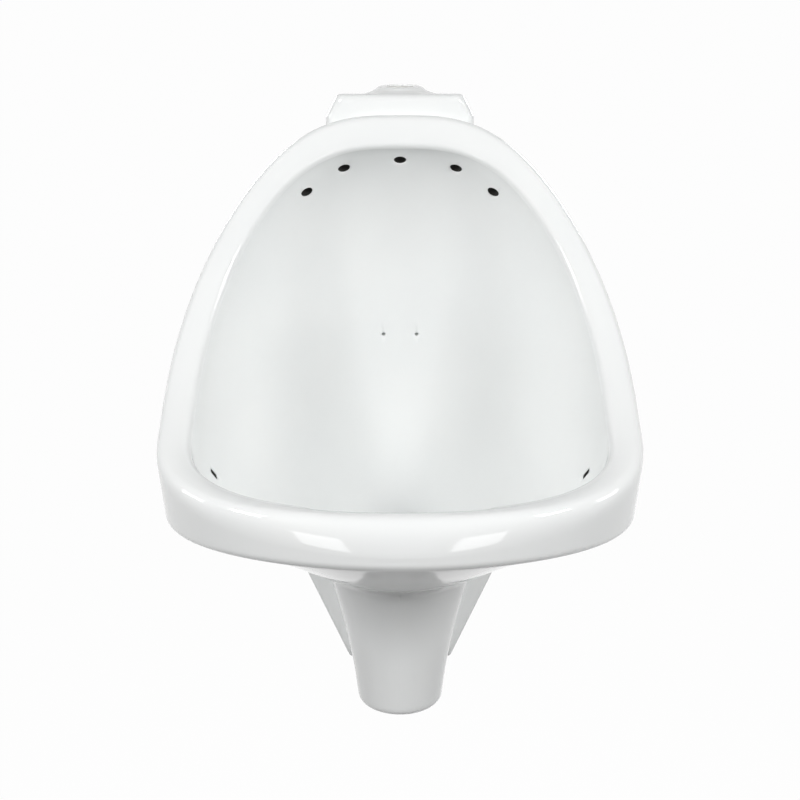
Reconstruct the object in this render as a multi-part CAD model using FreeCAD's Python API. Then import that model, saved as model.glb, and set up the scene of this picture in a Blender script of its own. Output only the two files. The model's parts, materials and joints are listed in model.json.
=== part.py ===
import FreeCAD, Part
import math
import os

# A wall-hung urinal of glazed china with a flat back and a top inlet, its waste
# fitting, its strainer and the two wall hangers that it hooks onto.
# X runs to the right, Y runs into the wall and Z runs up. Lengths are millimetres.
# Heights are measured from the foot of the outlet neck, and distances are measured
# forward from the wall. At the end everything is moved so that the origin lies on
# the wall, midway between the hanger screws.

V = FreeCAD.Vector

# Rim seen from above, about its widest line
rim_half_width = 194.0
rim_centre_from_wall = 279.0
rim_front_reach = 104.5
rim_top_from_wall = 115.0
rim_rear_reach = rim_centre_from_wall - rim_top_from_wall
rim_front_power = 2.3
rim_rear_power = 3.0

# Rim seen from the side: the outer edge runs from the top through a bend to the lip
rim_top_height = 571.5
rim_bend_from_wall = 171.5
rim_bend_height = 341.5
lip_height = 304.5

# Rim band and its rolled edges
rim_side_width = 27.5
rim_lip_width = 26.0
rim_top_width = 7.8
rim_lip_dip = 4.0
rim_inner_round = 6.0
rim_outer_round = 8.0
rim_crown = 1.2

# Apron under the rim: level along the front, and fading into the body at the top
apron_bottom_height = 269.5
apron_top_depth = 16.0
apron_draft = 2.0
apron_round = 9.0
apron_upright_share = 0.8

# Belly behind the apron
belly_fore_sag = 33.0
belly_rear_sag = 42.0
belly_sag_power = 1.75

# Outline of the back where it meets the wall
back_half_width = 184.0
back_widest_height = 272.0
back_top_drop = 24.5
back_top_height = rim_top_height - back_top_drop
back_bottom_height = 112.0
back_flange = 16.0

# Inside of the bowl
sump_height = 168.0
sump_radius = 38.0
drain_from_wall = 96.0
bowl_top_pull = 100.0
bowl_lip_pull = 66.0
bowl_hood_drop = 40.0
bowl_rear_rise = 62.0
bowl_front_rise = 28.0
bowl_draw_in_share = 0.95
bowl_floor_share = 0.45

# Wings of the back plate below the bowl
plate_thickness = 16.0
plate_foot_half_width = 52.0
plate_wing_half_width = 150.0
plate_wing_height = 222.0
plate_top_height = 330.0
plate_edge_round = 4.0

# Outlet neck: a hollow skirt that hides the waste fitting
neck_foot_half_width = 42.0
neck_waist_half_width = 48.0
neck_shoulder_half_width = 57.0
neck_root_half_width = 66.0
neck_waist_height = 55.0
neck_shoulder_height = 111.0
neck_root_height = 158.0
neck_foot_round = 5.0
neck_wall = 10.0
neck_seat_height = 148.0
neck_seat_radius = 46.0

# Pockets in the back of the casting
casting_wall = 12.0
pocket_reach = 150.0
pocket_top_drop = 101.5
pocket_top_height = rim_top_height - pocket_top_drop
pocket_bottom_height = 190.0
neck_pocket_half_width = 24.0
neck_pocket_depth = 46.0
neck_pocket_bottom_height = 20.0
neck_pocket_top_height = 118.0

# Flush box and inlet boss on top
box_rise = 5.5
box_top_height = rim_top_height + box_rise
box_top_half_width = 56.0
box_foot_half_width = 66.0
box_slope_drop = 20.0
box_slope_height = box_top_height - box_slope_drop
box_root = 42.0
box_foot_height = box_slope_height - box_root
box_depth = 70.0
box_round = 7.0
box_front_lift = 6.5
boss_from_wall = 36.0
boss_radius = 24.5
boss_rise = 10.0
boss_top_height = box_top_height + boss_rise
boss_round = 8.0
boss_flare = 2.5

# Flush chamber: an arch above the bowl that feeds the holes
chamber_drop = 179.5
chamber_centre_height = rim_top_height - chamber_drop
chamber_outer_radius = 150.0
chamber_inner_radius = 122.0
chamber_half_angle = 41.0
chamber_front_from_wall = 92.0
chamber_floor_from_wall = 64.0
chamber_back_from_wall = 44.0
flush_hole_radius = 5.3
flush_hole_angles = (-36.5, -20.5, 0.0, 20.5, 36.5)
flush_hole_arc_radius = 138.0
flush_hole_from_wall = 103.0
flush_hole_slope = 47.0
flush_hole_length = 46.0

# Small cuts in the bowl
slot_length = 13.0
slot_width = 4.2
slot_depth = 6.0
slot_end_round = 2.0
slot_ring_angle = 2.2
slot_path_share = 0.207
sensor_hole_radius = 1.7
sensor_hole_pitch = 31.2
sensor_hole_drop = 214.5
sensor_hole_height = rim_top_height - sensor_hole_drop
sensor_hole_depth = 6.0

# Inlet bore and its rubber seal
inlet_radius = 10.0
inlet_way_radius = 8.5
seal_radius = 13.0
seal_bore_radius = 7.5
seal_height = 14.0
seal_recess = 1.0
seal_clearance = 0.15

# Waste fitting
tail_radius = 20.95
tail_bore_radius = 17.0
tail_length = 105.0
tail_groove_width = 2.0
tail_groove_depth = 0.8
flange_radius = 32.0
flange_thickness = 3.0
flange_edge_round = 1.2
crossbar_width = 9.0
crossbar_thickness = 5.0
crossbar_drop = 11.0
waste_clearance = 0.35
drain_clearance = 1.2
top_washer_thickness = 2.0
top_washer_radius = 30.0
bottom_washer_thickness = 4.0
bottom_washer_radius = 34.0
slip_ring_thickness = 1.5
slip_ring_radius = 32.5
nut_across_flats = 54.0
nut_height = 11.0
nut_chamfer = 2.0

# Strainer over the waste
dome_radius = 27.0
dome_height = 11.0
dome_sheet = 1.5
dome_foot = 5.0
dome_slot_count = 8
dome_slot_width = 3.4
dome_slot_start = 9.0
dome_slot_end = 20.0
screw_radius = 2.5
screw_head_radius = 5.0
screw_head_height = 3.0
screw_head_round = 1.2
screw_slot_width = 1.2
screw_slot_depth = 1.3
screw_clearance = 0.35
screw_reach = 4.0

# Wall hangers and their pads
hanger_spacing = 160.0
hanger_drop = 206.5
hanger_level = rim_top_height - hanger_drop
hanger_hole_pitch = 26.0
hanger_hole_radius = 3.3
hanger_width = 40.0
hanger_sheet = 3.0
hanger_edge = 11.0
hanger_tongue_height = 14.0
hanger_bend_round = 1.5
hanger_corner_round = 6.0
pad_thickness = 2.0
pad_clearance = 0.4
ledge_half_width = 118.0
ledge_height = 42.0
ledge_wall_gap = 4.0
ledge_slot_wall = 13.0
ledge_slot_clearance = 1.0

# Overrun of every cut, the number of points round each ring and the small steps
# along and across the ring paths that give directions
overrun = 2.0
ring_points = 40
step_angle = math.radians(1)
step_share = 0.01

# Places on the bowl's ring paths, from the rim to the sump
bowl_path_shares = (0.1, 0.22, 0.36, 0.52, 0.68, 0.84)
belly_path_shares = (0.2, 0.42, 0.62, 0.82)


def unit(vector):
    return vector.multiply(1 / vector.Length) if vector.Length else vector


def bezier(points, share):
    # Point on a Bezier curve, by blending each pair of points until one is left
    points = list(points)
    while len(points) > 1:
        points = [a + (b - a) * share for a, b in zip(points, points[1:])]
    return points[0]


def polar(angle, half, below, above):
    # Closed outline in polar form: two superellipses that meet at the widest line
    c = math.cos(angle)
    s = math.sin(angle)
    reach, bend = (above, rim_rear_power) if s > 0 else (below, rim_front_power)
    radius = (abs(c / half) ** bend + abs(s / reach) ** bend) ** (-1 / bend)
    return radius * c, radius * s


def rim_height(y):
    # Height of the rim's outer edge at a given y, on its curve seen from the side
    top = -(rim_centre_from_wall - rim_rear_reach)
    lip = -(rim_centre_from_wall + rim_front_reach)
    bend = -rim_bend_from_wall
    square = top - 2 * bend + lip
    linear = bend - top
    root = math.sqrt(linear * linear - square * (top - y))
    share = (y - top) / (linear - root)
    curve = (V(0, 0, rim_top_height), V(0, 0, rim_bend_height), V(0, 0, lip_height))
    return bezier(curve, share).z


def outer_edge(angle):
    x, dy = polar(angle, rim_half_width, rim_front_reach, rim_rear_reach)
    y = dy - rim_centre_from_wall
    return V(x, y, rim_height(y))


def lip_to_top_share(y):
    lip = -(rim_centre_from_wall + rim_front_reach)
    return (y - lip) / (rim_front_reach + rim_rear_reach)


def inner_edge(angle):
    half = rim_half_width - rim_side_width
    front = rim_front_reach - rim_lip_width
    rear = rim_rear_reach - rim_top_width
    x, dy = polar(angle, half, front, rear)
    y = dy - rim_centre_from_wall
    near_lip = (1 - lip_to_top_share(y)) ** 2
    return V(x, y, rim_height(y) - rim_lip_dip * near_lip)


def back_outline(angle):
    # The upper half follows the rim as seen from the front, so the sides run straight back
    outer = outer_edge(angle)
    if math.sin(angle) > 0:
        side = outer_edge(0).z
        share = (outer.z - side) / (rim_top_height - side)
        z = back_widest_height + (back_top_height - back_widest_height) * share
        return V(outer.x * back_half_width / rim_half_width, 0, z)
    x, dz = polar(angle, back_half_width, back_widest_height - back_bottom_height, 0)
    return V(x, 0, back_widest_height + dz)


def frame_at(angle):
    # Rim edges on one ring path, the direction across the band and the band's outward normal
    outer = outer_edge(angle)
    inner = inner_edge(angle)
    along = outer_edge(angle - step_angle) - outer_edge(angle + step_angle)
    across = unit(outer - V(inner.x, inner.y, rim_height(inner.y)))
    return outer, inner, across, unit(along.cross(across))


def apron_rise(angle):
    # Direction up the apron: nearly upright in front, square to the rim from the sides to the top
    lean = apron_upright_share * max(0.0, -math.sin(angle)) ** 2
    return unit(frame_at(angle)[3] * (1 - lean) + V(0, 0, 1) * lean)


def apron_depth(angle):
    # In front the apron ends level; behind the widest line its depth fades to the top's
    side = max(0.0, math.sin(angle))
    held = min(angle, 0.0) if angle > -math.pi / 2 else max(angle, -math.pi)
    depth = (frame_at(held)[0].z - apron_bottom_height) / apron_rise(held).z
    return depth + (apron_top_depth - depth) * side ** 2


def bowl_curve(angle):
    # Control points of the bowl's inside on one ring path, from the rim to the sump
    outer, inner, _, normal = frame_at(angle)
    high = lip_to_top_share(outer.y)
    sump = V(
        sump_radius * math.cos(angle),
        sump_radius * math.sin(angle) - drain_from_wall,
        sump_height,
    )
    start = inner - normal * rim_inner_round
    pull = start - normal * (bowl_lip_pull + (bowl_top_pull - bowl_lip_pull) * high)
    pull.x *= bowl_draw_in_share
    pull.z -= bowl_hood_drop * high ** 2
    floor = sump + (pull - sump) * bowl_floor_share
    floor.z = sump_height + bowl_front_rise + (bowl_rear_rise - bowl_front_rise) * high ** 3
    return start, pull, floor, sump


def section(angle):
    # All points of the casting's wall on one ring path, from the sump over the rim
    # and down the apron and the belly to the wall
    outer, inner, across, normal = frame_at(angle)
    rise = apron_rise(angle)
    curve = bowl_curve(angle)
    start = curve[0]
    sump = curve[3]
    bowl = [bezier(curve, share) for share in bowl_path_shares]

    soft = 1 - math.sqrt(0.5)
    rim = [
        start,
        inner + across * (rim_inner_round * soft) - normal * (rim_inner_round * soft),
        inner + across * rim_inner_round + normal * (rim_crown / 2),
        (inner + outer) * 0.5 + normal * rim_crown,
        outer - across * rim_outer_round + normal * (rim_crown / 2),
        outer - across * (rim_outer_round * soft) - normal * (rim_outer_round * soft),
        outer - rise * rim_outer_round,
    ]

    depth = apron_depth(angle)
    hem = outer - rise * depth - across * apron_draft
    wall = back_outline(angle)
    foot = wall - V(0, back_flange, 0)
    low = max(0.0, -math.sin(angle)) ** belly_sag_power
    fore = hem + (foot - hem) * (1 / 3) - V(0, 0, belly_fore_sag * low)
    rear = hem + (foot - hem) * (2 / 3) - V(0, 0, belly_rear_sag * low)
    roll = min(apron_round, depth / 3)
    away = unit(fore - hem)
    apron = [hem + rise * roll, hem + (rise + away) * (roll / 4), hem + away * roll]
    belly = [bezier((apron[2], fore, rear, foot), share) for share in belly_path_shares]
    return [sump] + bowl[::-1] + rim + apron + belly + [foot, wall]


def ring_curve(points):
    curve = Part.BSplineCurve()
    steps = [float(i) for i in range(len(points) + 1)]
    curve.interpolate(Points=points, PeriodicFlag=True, Parameters=steps)
    return curve


def ring_wire(points):
    return Part.Wire([ring_curve(points).toShape()])


def ring_angles():
    return [math.pi / 2 - 2 * math.pi * i / ring_points for i in range(ring_points)]


def casting_rings():
    return [list(ring) for ring in zip(*[section(angle) for angle in ring_angles()])]


def ruled(rings):
    # Solid with straight runs from each ring to the next
    return Part.makeLoft([ring_wire(ring) for ring in rings], True, True)


def skin(rings):
    # One smooth surface: a closed spline round every ring, and splines across the rings
    # whose steps are the roots of the rings' mean distances
    steps = [0.0]
    for ring, after in zip(rings, rings[1:]):
        mean = sum((b - a).Length for a, b in zip(ring, after)) / len(ring)
        steps.append(steps[-1] + math.sqrt(mean))
    curves = [ring_curve(ring) for ring in rings]
    across = []
    for column in zip(*[curve.getPoles() for curve in curves]):
        curve = Part.BSplineCurve()
        curve.interpolate(Points=list(column), Parameters=steps)
        across.append(curve)
    around = curves[0]
    surface = Part.BSplineSurface()
    surface.buildFromPolesMultsKnots(
        [curve.getPoles() for curve in across],
        around.getMultiplicities(), across[0].getMultiplicities(),
        around.getKnots(), across[0].getKnots(),
        True, False, around.Degree, across[0].Degree,
    )
    return surface.toShape()


def closed(rings):
    # The skin through the rings, closed by flat faces at its two ends
    shell = Part.Compound([skin(rings), Part.Face(ring_wire(rings[0])), Part.Face(ring_wire(rings[-1]))])
    shell.sewShape()
    solid = Part.Solid(shell.Shells[0])
    return solid if solid.Volume > 0 else solid.reversed()


def moved_in(rings, distance):
    # The same rings moved into the wall of the casting, square to its surface
    moved = []
    for k, ring in enumerate(rings):
        before = rings[max(k - 1, 0)]
        after = rings[min(k + 1, len(rings) - 1)]
        points = []
        for i, point in enumerate(ring):
            along = ring[(i + 1) % ring_points] - ring[i - 1]
            points.append(point - unit(along.cross(after[i] - before[i])) * distance)
        moved.append(points)
    return moved


def box(x0, x1, y0, y1, z0, z1):
    return Part.makeBox(x1 - x0, y1 - y0, z1 - z0, V(x0, y0, z0))


def cylinder(radius, x, y, z0, z1):
    return Part.makeCylinder(radius, z1 - z0, V(x, y, z0))


def tube(radius, bore, x, y, z0, z1):
    hollow = cylinder(bore, x, y, z0 - overrun, z1 + overrun)
    return cylinder(radius, x, y, z0, z1).cut(hollow)


def prism(points, along):
    return Part.Face(Part.makePolygon(points + points[:1])).extrude(along)


def edges_where(shape, test):
    return [edge for edge in shape.Edges if test(edge.BoundBox)]


def d_wire(half, z):
    # D-shaped section of the neck: a half round in front and straight sides to the wall
    y = -drain_from_wall
    left = V(-half, y, z)
    right = V(half, y, z)
    front = V(0, y - half, z)
    left_back = V(-half, 0, z)
    right_back = V(half, 0, z)
    return Part.Wire([
        Part.Arc(left, front, right).toShape(),
        Part.LineSegment(right, right_back).toShape(),
        Part.LineSegment(right_back, left_back).toShape(),
        Part.LineSegment(left_back, left).toShape(),
    ])


def neck():
    levels = (
        (neck_foot_half_width, 0.0),
        (neck_waist_half_width, neck_waist_height),
        (neck_shoulder_half_width, neck_shoulder_height),
        (neck_root_half_width, neck_root_height),
    )
    skirt = Part.makeLoft([d_wire(half, z) for half, z in levels], True, False)
    foot = edges_where(skirt, lambda b: b.ZMax < neck_foot_round and b.YMin < -drain_from_wall / 2)
    return skirt.makeFillet(neck_foot_round, foot)


def back_plate():
    right = [
        (plate_foot_half_width, 0.0),
        (plate_wing_half_width, plate_wing_height),
        (plate_wing_half_width, plate_top_height),
    ]
    outline = right + [(-x, z) for x, z in reversed(right)]
    plate = prism([V(x, 0, z) for x, z in outline], V(0, -plate_thickness, 0))
    front = edges_where(plate, lambda b: b.YMax < -plate_thickness / 2 and b.ZMin < plate_wing_height / 2)
    return plate.makeFillet(plate_edge_round, front)


def flush_box():
    outline = [
        (-box_foot_half_width, box_foot_height),
        (box_foot_half_width, box_foot_height),
        (box_foot_half_width, box_slope_height),
        (box_top_half_width, box_top_height),
        (-box_top_half_width, box_top_height),
        (-box_foot_half_width, box_slope_height),
    ]
    body = prism([V(x, 0, z) for x, z in outline], V(0, -box_depth, box_front_lift))
    rolled = edges_where(
        body,
        lambda b: b.ZMax > box_top_height - box_round and b.YMin < -box_depth / 2,
    )
    return body.makeFillet(box_round, rolled)


def boss():
    stub = cylinder(boss_radius, 0, -boss_from_wall, box_foot_height, boss_top_height)
    rolled = edges_where(stub, lambda b: b.ZMin > box_top_height)
    stub = stub.makeFillet(boss_round, rolled[:1])
    foot = Part.makeCone(
        boss_radius + boss_flare,
        boss_radius,
        boss_flare,
        V(0, -boss_from_wall, box_top_height + box_front_lift * boss_from_wall / box_depth),
    )
    return stub.fuse(foot)


def in_front(ring):
    # The ring's outline seen from the front, on an upright plane in front of the lip
    y = -(rim_centre_from_wall + rim_front_reach + pocket_reach)
    return [V(point.x, y, point.z) for point in ring]


def back_pocket(rings):
    # Hollow behind the bowl, open at the back, that leaves one wall all round
    inset = moved_in(rings, casting_wall)
    bowl = inset[:len(bowl_path_shares) + 2]
    bowl[0] = [V(point.x, point.y, sump_height - casting_wall) for point in bowl[0]]
    shell = inset[-len(belly_path_shares) - 3:]
    behind = [point + V(0, overrun, 0) for point in shell[-1]]
    outside = ruled([in_front(shell[0])] + shell + [behind])
    span = rim_half_width
    limit = box(-span, span, -pocket_reach, 2 * overrun, pocket_bottom_height, pocket_top_height)
    inside = ruled(bowl + [in_front(bowl[-1])])
    return outside.common(limit).cut(inside)


def hanger_shelf_height():
    # Top of the hanger's shelf; the pad lies on it and the casting's ledge lies on the pad
    return hanger_level + hanger_hole_pitch / 2 + hanger_edge + hanger_sheet


def ledge_bottom():
    return hanger_shelf_height() + pad_thickness


def hanger_tongue_back():
    # Distance from the wall to the near face of the hanger's upright tongue
    return ledge_wall_gap + ledge_slot_wall + ledge_slot_clearance


def ledge():
    bottom = ledge_bottom()
    block = box(
        -ledge_half_width, ledge_half_width,
        -drain_from_wall, -ledge_wall_gap,
        bottom, bottom + ledge_height,
    )
    half = hanger_width / 2 + ledge_slot_clearance
    near = hanger_tongue_back() - ledge_slot_clearance
    far = hanger_tongue_back() + hanger_sheet + ledge_slot_clearance
    top = hanger_shelf_height() + hanger_tongue_height + ledge_slot_clearance
    for side in (-1, 1):
        x = side * hanger_spacing / 2
        block = block.cut(box(x - half, x + half, -far, -near, bottom - overrun, top))
    return block


def flush_chamber():
    # Arch-shaped hollow: one section turned about a level axis that runs from front to back
    centre = chamber_centre_height
    outline = [
        V(0, -chamber_front_from_wall, centre + chamber_outer_radius),
        V(0, -chamber_back_from_wall, centre + chamber_outer_radius),
        V(0, -chamber_back_from_wall, centre + chamber_inner_radius),
        V(0, -chamber_floor_from_wall, centre + chamber_inner_radius),
    ]
    face = Part.Face(Part.makePolygon(outline + outline[:1]))
    axis_point = V(0, 0, centre)
    face.rotate(axis_point, V(0, 1, 0), -chamber_half_angle)
    return face.revolve(axis_point, V(0, 1, 0), 2 * chamber_half_angle)


def flush_holes():
    # Drilled square to the hood of the bowl, up and back into the chamber
    slope = math.radians(flush_hole_slope)
    back = math.cos(slope)
    rise = math.sin(slope)
    holes = []
    for degrees in flush_hole_angles:
        turn = math.radians(degrees)
        outward = V(math.sin(turn), 0, math.cos(turn))
        place = outward * flush_hole_arc_radius + V(0, -flush_hole_from_wall, chamber_centre_height)
        drill = V(0, back, 0) + outward * rise
        start = place - drill * (flush_hole_length / 2)
        holes.append(Part.makeCylinder(flush_hole_radius, flush_hole_length, start, drill))
    return holes


def corner_slots():
    # Short slots square to the bowl's surface, one in each lower corner
    right = math.radians(slot_ring_angle)
    slots = []
    for angle in (right, math.pi - right):
        place = bezier(bowl_curve(angle), slot_path_share)
        along = bezier(bowl_curve(angle + step_angle), slot_path_share) - place
        down = bezier(bowl_curve(angle), slot_path_share + step_share) - place
        inward = unit(along.cross(down))
        slot = box(
            -slot_width / 2, slot_width / 2,
            -slot_length / 2, slot_length / 2,
            -slot_depth, slot_depth,
        )
        slot = slot.makeFillet(slot_end_round, edges_where(slot, lambda b: b.ZLength > slot_depth))
        slot.Placement = FreeCAD.Placement(place, FreeCAD.Rotation(V(0, 0, 0), down, inward, "ZYX"))
        slots.append(slot)
    return slots


def sensor_holes(bowl_back):
    holes = []
    for side in (-1, 1):
        start = V(side * sensor_hole_pitch / 2, bowl_back - sensor_hole_depth, sensor_hole_height)
        holes.append(Part.makeCylinder(sensor_hole_radius, 2 * sensor_hole_depth, start, V(0, 1, 0)))
    return holes


def inlet_cuts():
    # Seat for the seal, the pipe down from it and the way forward into the chamber
    y = -boss_from_wall
    seat = boss_top_height - seal_recess - seal_height
    level = chamber_centre_height + (chamber_inner_radius + chamber_outer_radius) / 2
    pipe = cylinder(inlet_radius, 0, y, level - inlet_way_radius - overrun, seat + overrun)
    reach = chamber_floor_from_wall - boss_from_wall
    way = Part.makeCylinder(inlet_way_radius, reach, V(0, y, level), V(0, -1, 0))
    counterbore = cylinder(seal_radius + seal_clearance, 0, y, seat, boss_top_height + overrun)
    return [pipe, way, counterbore]


def neck_hollow():
    foot_radius = neck_foot_half_width - neck_wall
    run = (neck_seat_radius - foot_radius) / neck_seat_height
    return Part.makeCone(
        foot_radius - run * overrun,
        neck_seat_radius,
        neck_seat_height + overrun,
        V(0, -drain_from_wall, -overrun),
    )


def rear_wall_y():
    # The bowl's rear wall at the height of the two small holes
    path = section(math.pi / 2)
    bowl = path[:len(bowl_path_shares) + 2]
    for low, high in zip(bowl, bowl[1:]):
        if low.z <= sensor_hole_height <= high.z:
            share = (sensor_hole_height - low.z) / (high.z - low.z)
            return low.y + (high.y - low.y) * share
    return bowl[0].y


def china_body():
    rings = casting_rings()
    casting = closed(rings)
    casting = casting.fuse([back_plate(), neck(), flush_box(), boss()])
    neck_pocket = box(
        -neck_pocket_half_width, neck_pocket_half_width,
        -neck_pocket_depth, overrun,
        neck_pocket_bottom_height, neck_pocket_top_height,
    )
    bore = tail_radius + drain_clearance
    drain = cylinder(bore, 0, -drain_from_wall, neck_seat_height - overrun, sump_height + overrun)
    casting = casting.cut([back_pocket(rings).cut(ledge()), neck_pocket, neck_hollow(), drain])
    hollows = [flush_chamber()] + flush_holes() + inlet_cuts()
    casting = casting.cut(hollows)
    casting = casting.cut(corner_slots() + sensor_holes(rear_wall_y()))
    return casting.removeSplitter()


def inlet_seal():
    top = boss_top_height - seal_recess
    return tube(seal_radius, seal_bore_radius, 0, -boss_from_wall, top - seal_height, top)


def flange_top():
    return sump_height + top_washer_thickness + flange_thickness


def nut_top():
    return neck_seat_height - bottom_washer_thickness - slip_ring_thickness


def waste_body():
    # Flange and threaded tail, with a groove that parts the nut's thread from the free thread
    y = -drain_from_wall
    top = flange_top()
    flange = cylinder(flange_radius, 0, y, top - flange_thickness, top)
    rolled = edges_where(flange, lambda b: b.ZMin > top - flange_thickness / 2)
    flange = flange.makeFillet(flange_edge_round, rolled[:1])
    tail = cylinder(tail_radius, 0, y, top - tail_length, top - flange_thickness / 2)
    bore = cylinder(tail_bore_radius, 0, y, top - tail_length - overrun, top + overrun)
    bar = box(
        -tail_bore_radius - overrun / 2, tail_bore_radius + overrun / 2,
        y - crossbar_width / 2, y + crossbar_width / 2,
        top - crossbar_drop - crossbar_thickness, top - crossbar_drop,
    )
    hole = cylinder(screw_radius + screw_clearance, 0, y, top - tail_length, top)
    groove_top = nut_top() - nut_height - tail_groove_width / 2
    groove_floor = tail_radius - tail_groove_depth
    groove = tube(tail_radius + overrun, groove_floor, 0, y, groove_top - tail_groove_width, groove_top)
    return flange.fuse(tail).cut([bore, groove]).fuse(bar.cut(hole)).removeSplitter()


def waste_ring(radius, z0, z1):
    return tube(radius, tail_radius + waste_clearance, 0, -drain_from_wall, z0, z1)


def waste_backnut():
    top = nut_top()
    y = -drain_from_wall
    corner = nut_across_flats / math.sqrt(3)
    points = []
    for i in range(6):
        turn = math.radians(60 * i)
        points.append(V(corner * math.cos(turn), y + corner * math.sin(turn), top - nut_height))
    hexagon = prism(points, V(0, 0, nut_height))
    cone = Part.makeCone(
        corner - nut_chamfer,
        corner - nut_chamfer + 2 * nut_height,
        2 * nut_height,
        V(0, y, top - nut_height),
    )
    return hexagon.common(cone).cut(
        cylinder(tail_radius + waste_clearance, 0, y, top - nut_height - overrun, top + overrun)
    )


def strainer_dome():
    # Turned sheet dome with a flat foot, slots all round and a hole for its screw
    y = -drain_from_wall
    z = flange_top()
    rise = dome_radius - dome_foot
    ball = (rise * rise + dome_height * dome_height) / (2 * dome_height)
    centre = V(0, y, z + dome_height - ball)
    outer = Part.makeSphere(ball, centre)
    inner = Part.makeSphere(ball - dome_sheet, centre)
    cap = outer.common(cylinder(dome_radius, 0, y, z, z + 2 * dome_height))
    cap = cap.fuse(cylinder(dome_radius, 0, y, z, z + dome_sheet))
    cap = cap.cut(inner)
    slot = box(
        dome_slot_start, dome_slot_end,
        y - dome_slot_width / 2, y + dome_slot_width / 2,
        z - overrun, z + 2 * dome_height,
    )
    slots = []
    for i in range(dome_slot_count):
        turned = slot.copy()
        turned.rotate(V(0, y, 0), V(0, 0, 1), 360 * i / dome_slot_count)
        slots.append(turned)
    hole = cylinder(screw_radius + screw_clearance, 0, y, z, z + 2 * dome_height)
    return cap.cut(slots + [hole]).removeSplitter()


def strainer_screw():
    y = -drain_from_wall
    seat = flange_top() + dome_height
    foot = flange_top() - crossbar_drop - crossbar_thickness - screw_reach
    head = cylinder(screw_head_radius, 0, y, seat, seat + screw_head_height)
    rolled = edges_where(head, lambda b: b.ZMin > seat + screw_head_height / 2)
    head = head.makeFillet(screw_head_round, rolled[:1])
    slot = box(
        -screw_head_radius - overrun, screw_head_radius + overrun,
        y - screw_slot_width / 2, y + screw_slot_width / 2,
        seat + screw_head_height - screw_slot_depth, seat + screw_head_height + overrun,
    )
    shank = cylinder(screw_radius, 0, y, foot, seat + screw_head_height / 2)
    return head.cut(slot).fuse(shank).removeSplitter()


def hanger(x):
    # Bent strip: a plate on the wall, a shelf and an upright tongue
    half = hanger_width / 2
    shelf = hanger_shelf_height()
    foot = hanger_level - hanger_hole_pitch / 2 - hanger_edge
    far = hanger_tongue_back() + hanger_sheet
    plate = box(x - half, x + half, -hanger_sheet, 0, foot, shelf)
    corners = edges_where(plate, lambda b: b.ZMax < hanger_level and b.YLength > hanger_sheet / 2)
    plate = plate.makeFillet(hanger_corner_round, corners)
    level = box(x - half, x + half, -far, 0, shelf - hanger_sheet, shelf)
    tongue = box(
        x - half, x + half, -far, -far + hanger_sheet,
        shelf - hanger_sheet, shelf + hanger_tongue_height,
    )
    strip = plate.fuse([level, tongue]).removeSplitter()
    bend = edges_where(
        strip,
        lambda b: b.XLength > half and b.ZMax < shelf - hanger_sheet / 2 and b.YMax < -far + hanger_sheet / 2,
    )
    strip = strip.makeFillet(hanger_bend_round, bend)
    for side in (-1, 1):
        z = hanger_level + side * hanger_hole_pitch / 2
        start = V(x, overrun, z)
        strip = strip.cut(
            Part.makeCylinder(hanger_hole_radius, hanger_sheet + 2 * overrun, start, V(0, -1, 0))
        )
    return strip


def hanger_pad(x):
    half = hanger_width / 2
    shelf = hanger_shelf_height()
    return box(
        x - half, x + half,
        -hanger_tongue_back() + pad_clearance, -ledge_wall_gap / 2,
        shelf, shelf + pad_thickness,
    )


def parts():
    seat = neck_seat_height
    washer = seat - bottom_washer_thickness
    side = hanger_spacing / 2
    return {
        "china_body": china_body(),
        "inlet_seal": inlet_seal(),
        "waste_body": waste_body(),
        "waste_top_washer": waste_ring(top_washer_radius, sump_height, sump_height + top_washer_thickness),
        "waste_bottom_washer": waste_ring(bottom_washer_radius, washer, seat),
        "waste_slip_ring": waste_ring(slip_ring_radius, washer - slip_ring_thickness, washer),
        "waste_backnut": waste_backnut(),
        "strainer_dome": strainer_dome(),
        "strainer_screw": strainer_screw(),
        "hanger_left": hanger(-side),
        "hanger_right": hanger(side),
        "hanger_pad_left": hanger_pad(-side),
        "hanger_pad_right": hanger_pad(side),
    }


def main():
    os.makedirs("parts", exist_ok=True)
    for name, shape in parts().items():
        shape.translate(V(0, 0, -hanger_level))
        shape.exportStep("parts/" + name + ".step")
        print(name, len(shape.Solids), shape.isValid(), round(shape.Volume))


main()
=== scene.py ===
import json
import math

import bmesh
import bpy
import numpy as np
from bpy.props import FloatProperty, IntProperty, PointerProperty, StringProperty
from mathutils import Matrix, Vector
from mathutils.kdtree import KDTree


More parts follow.
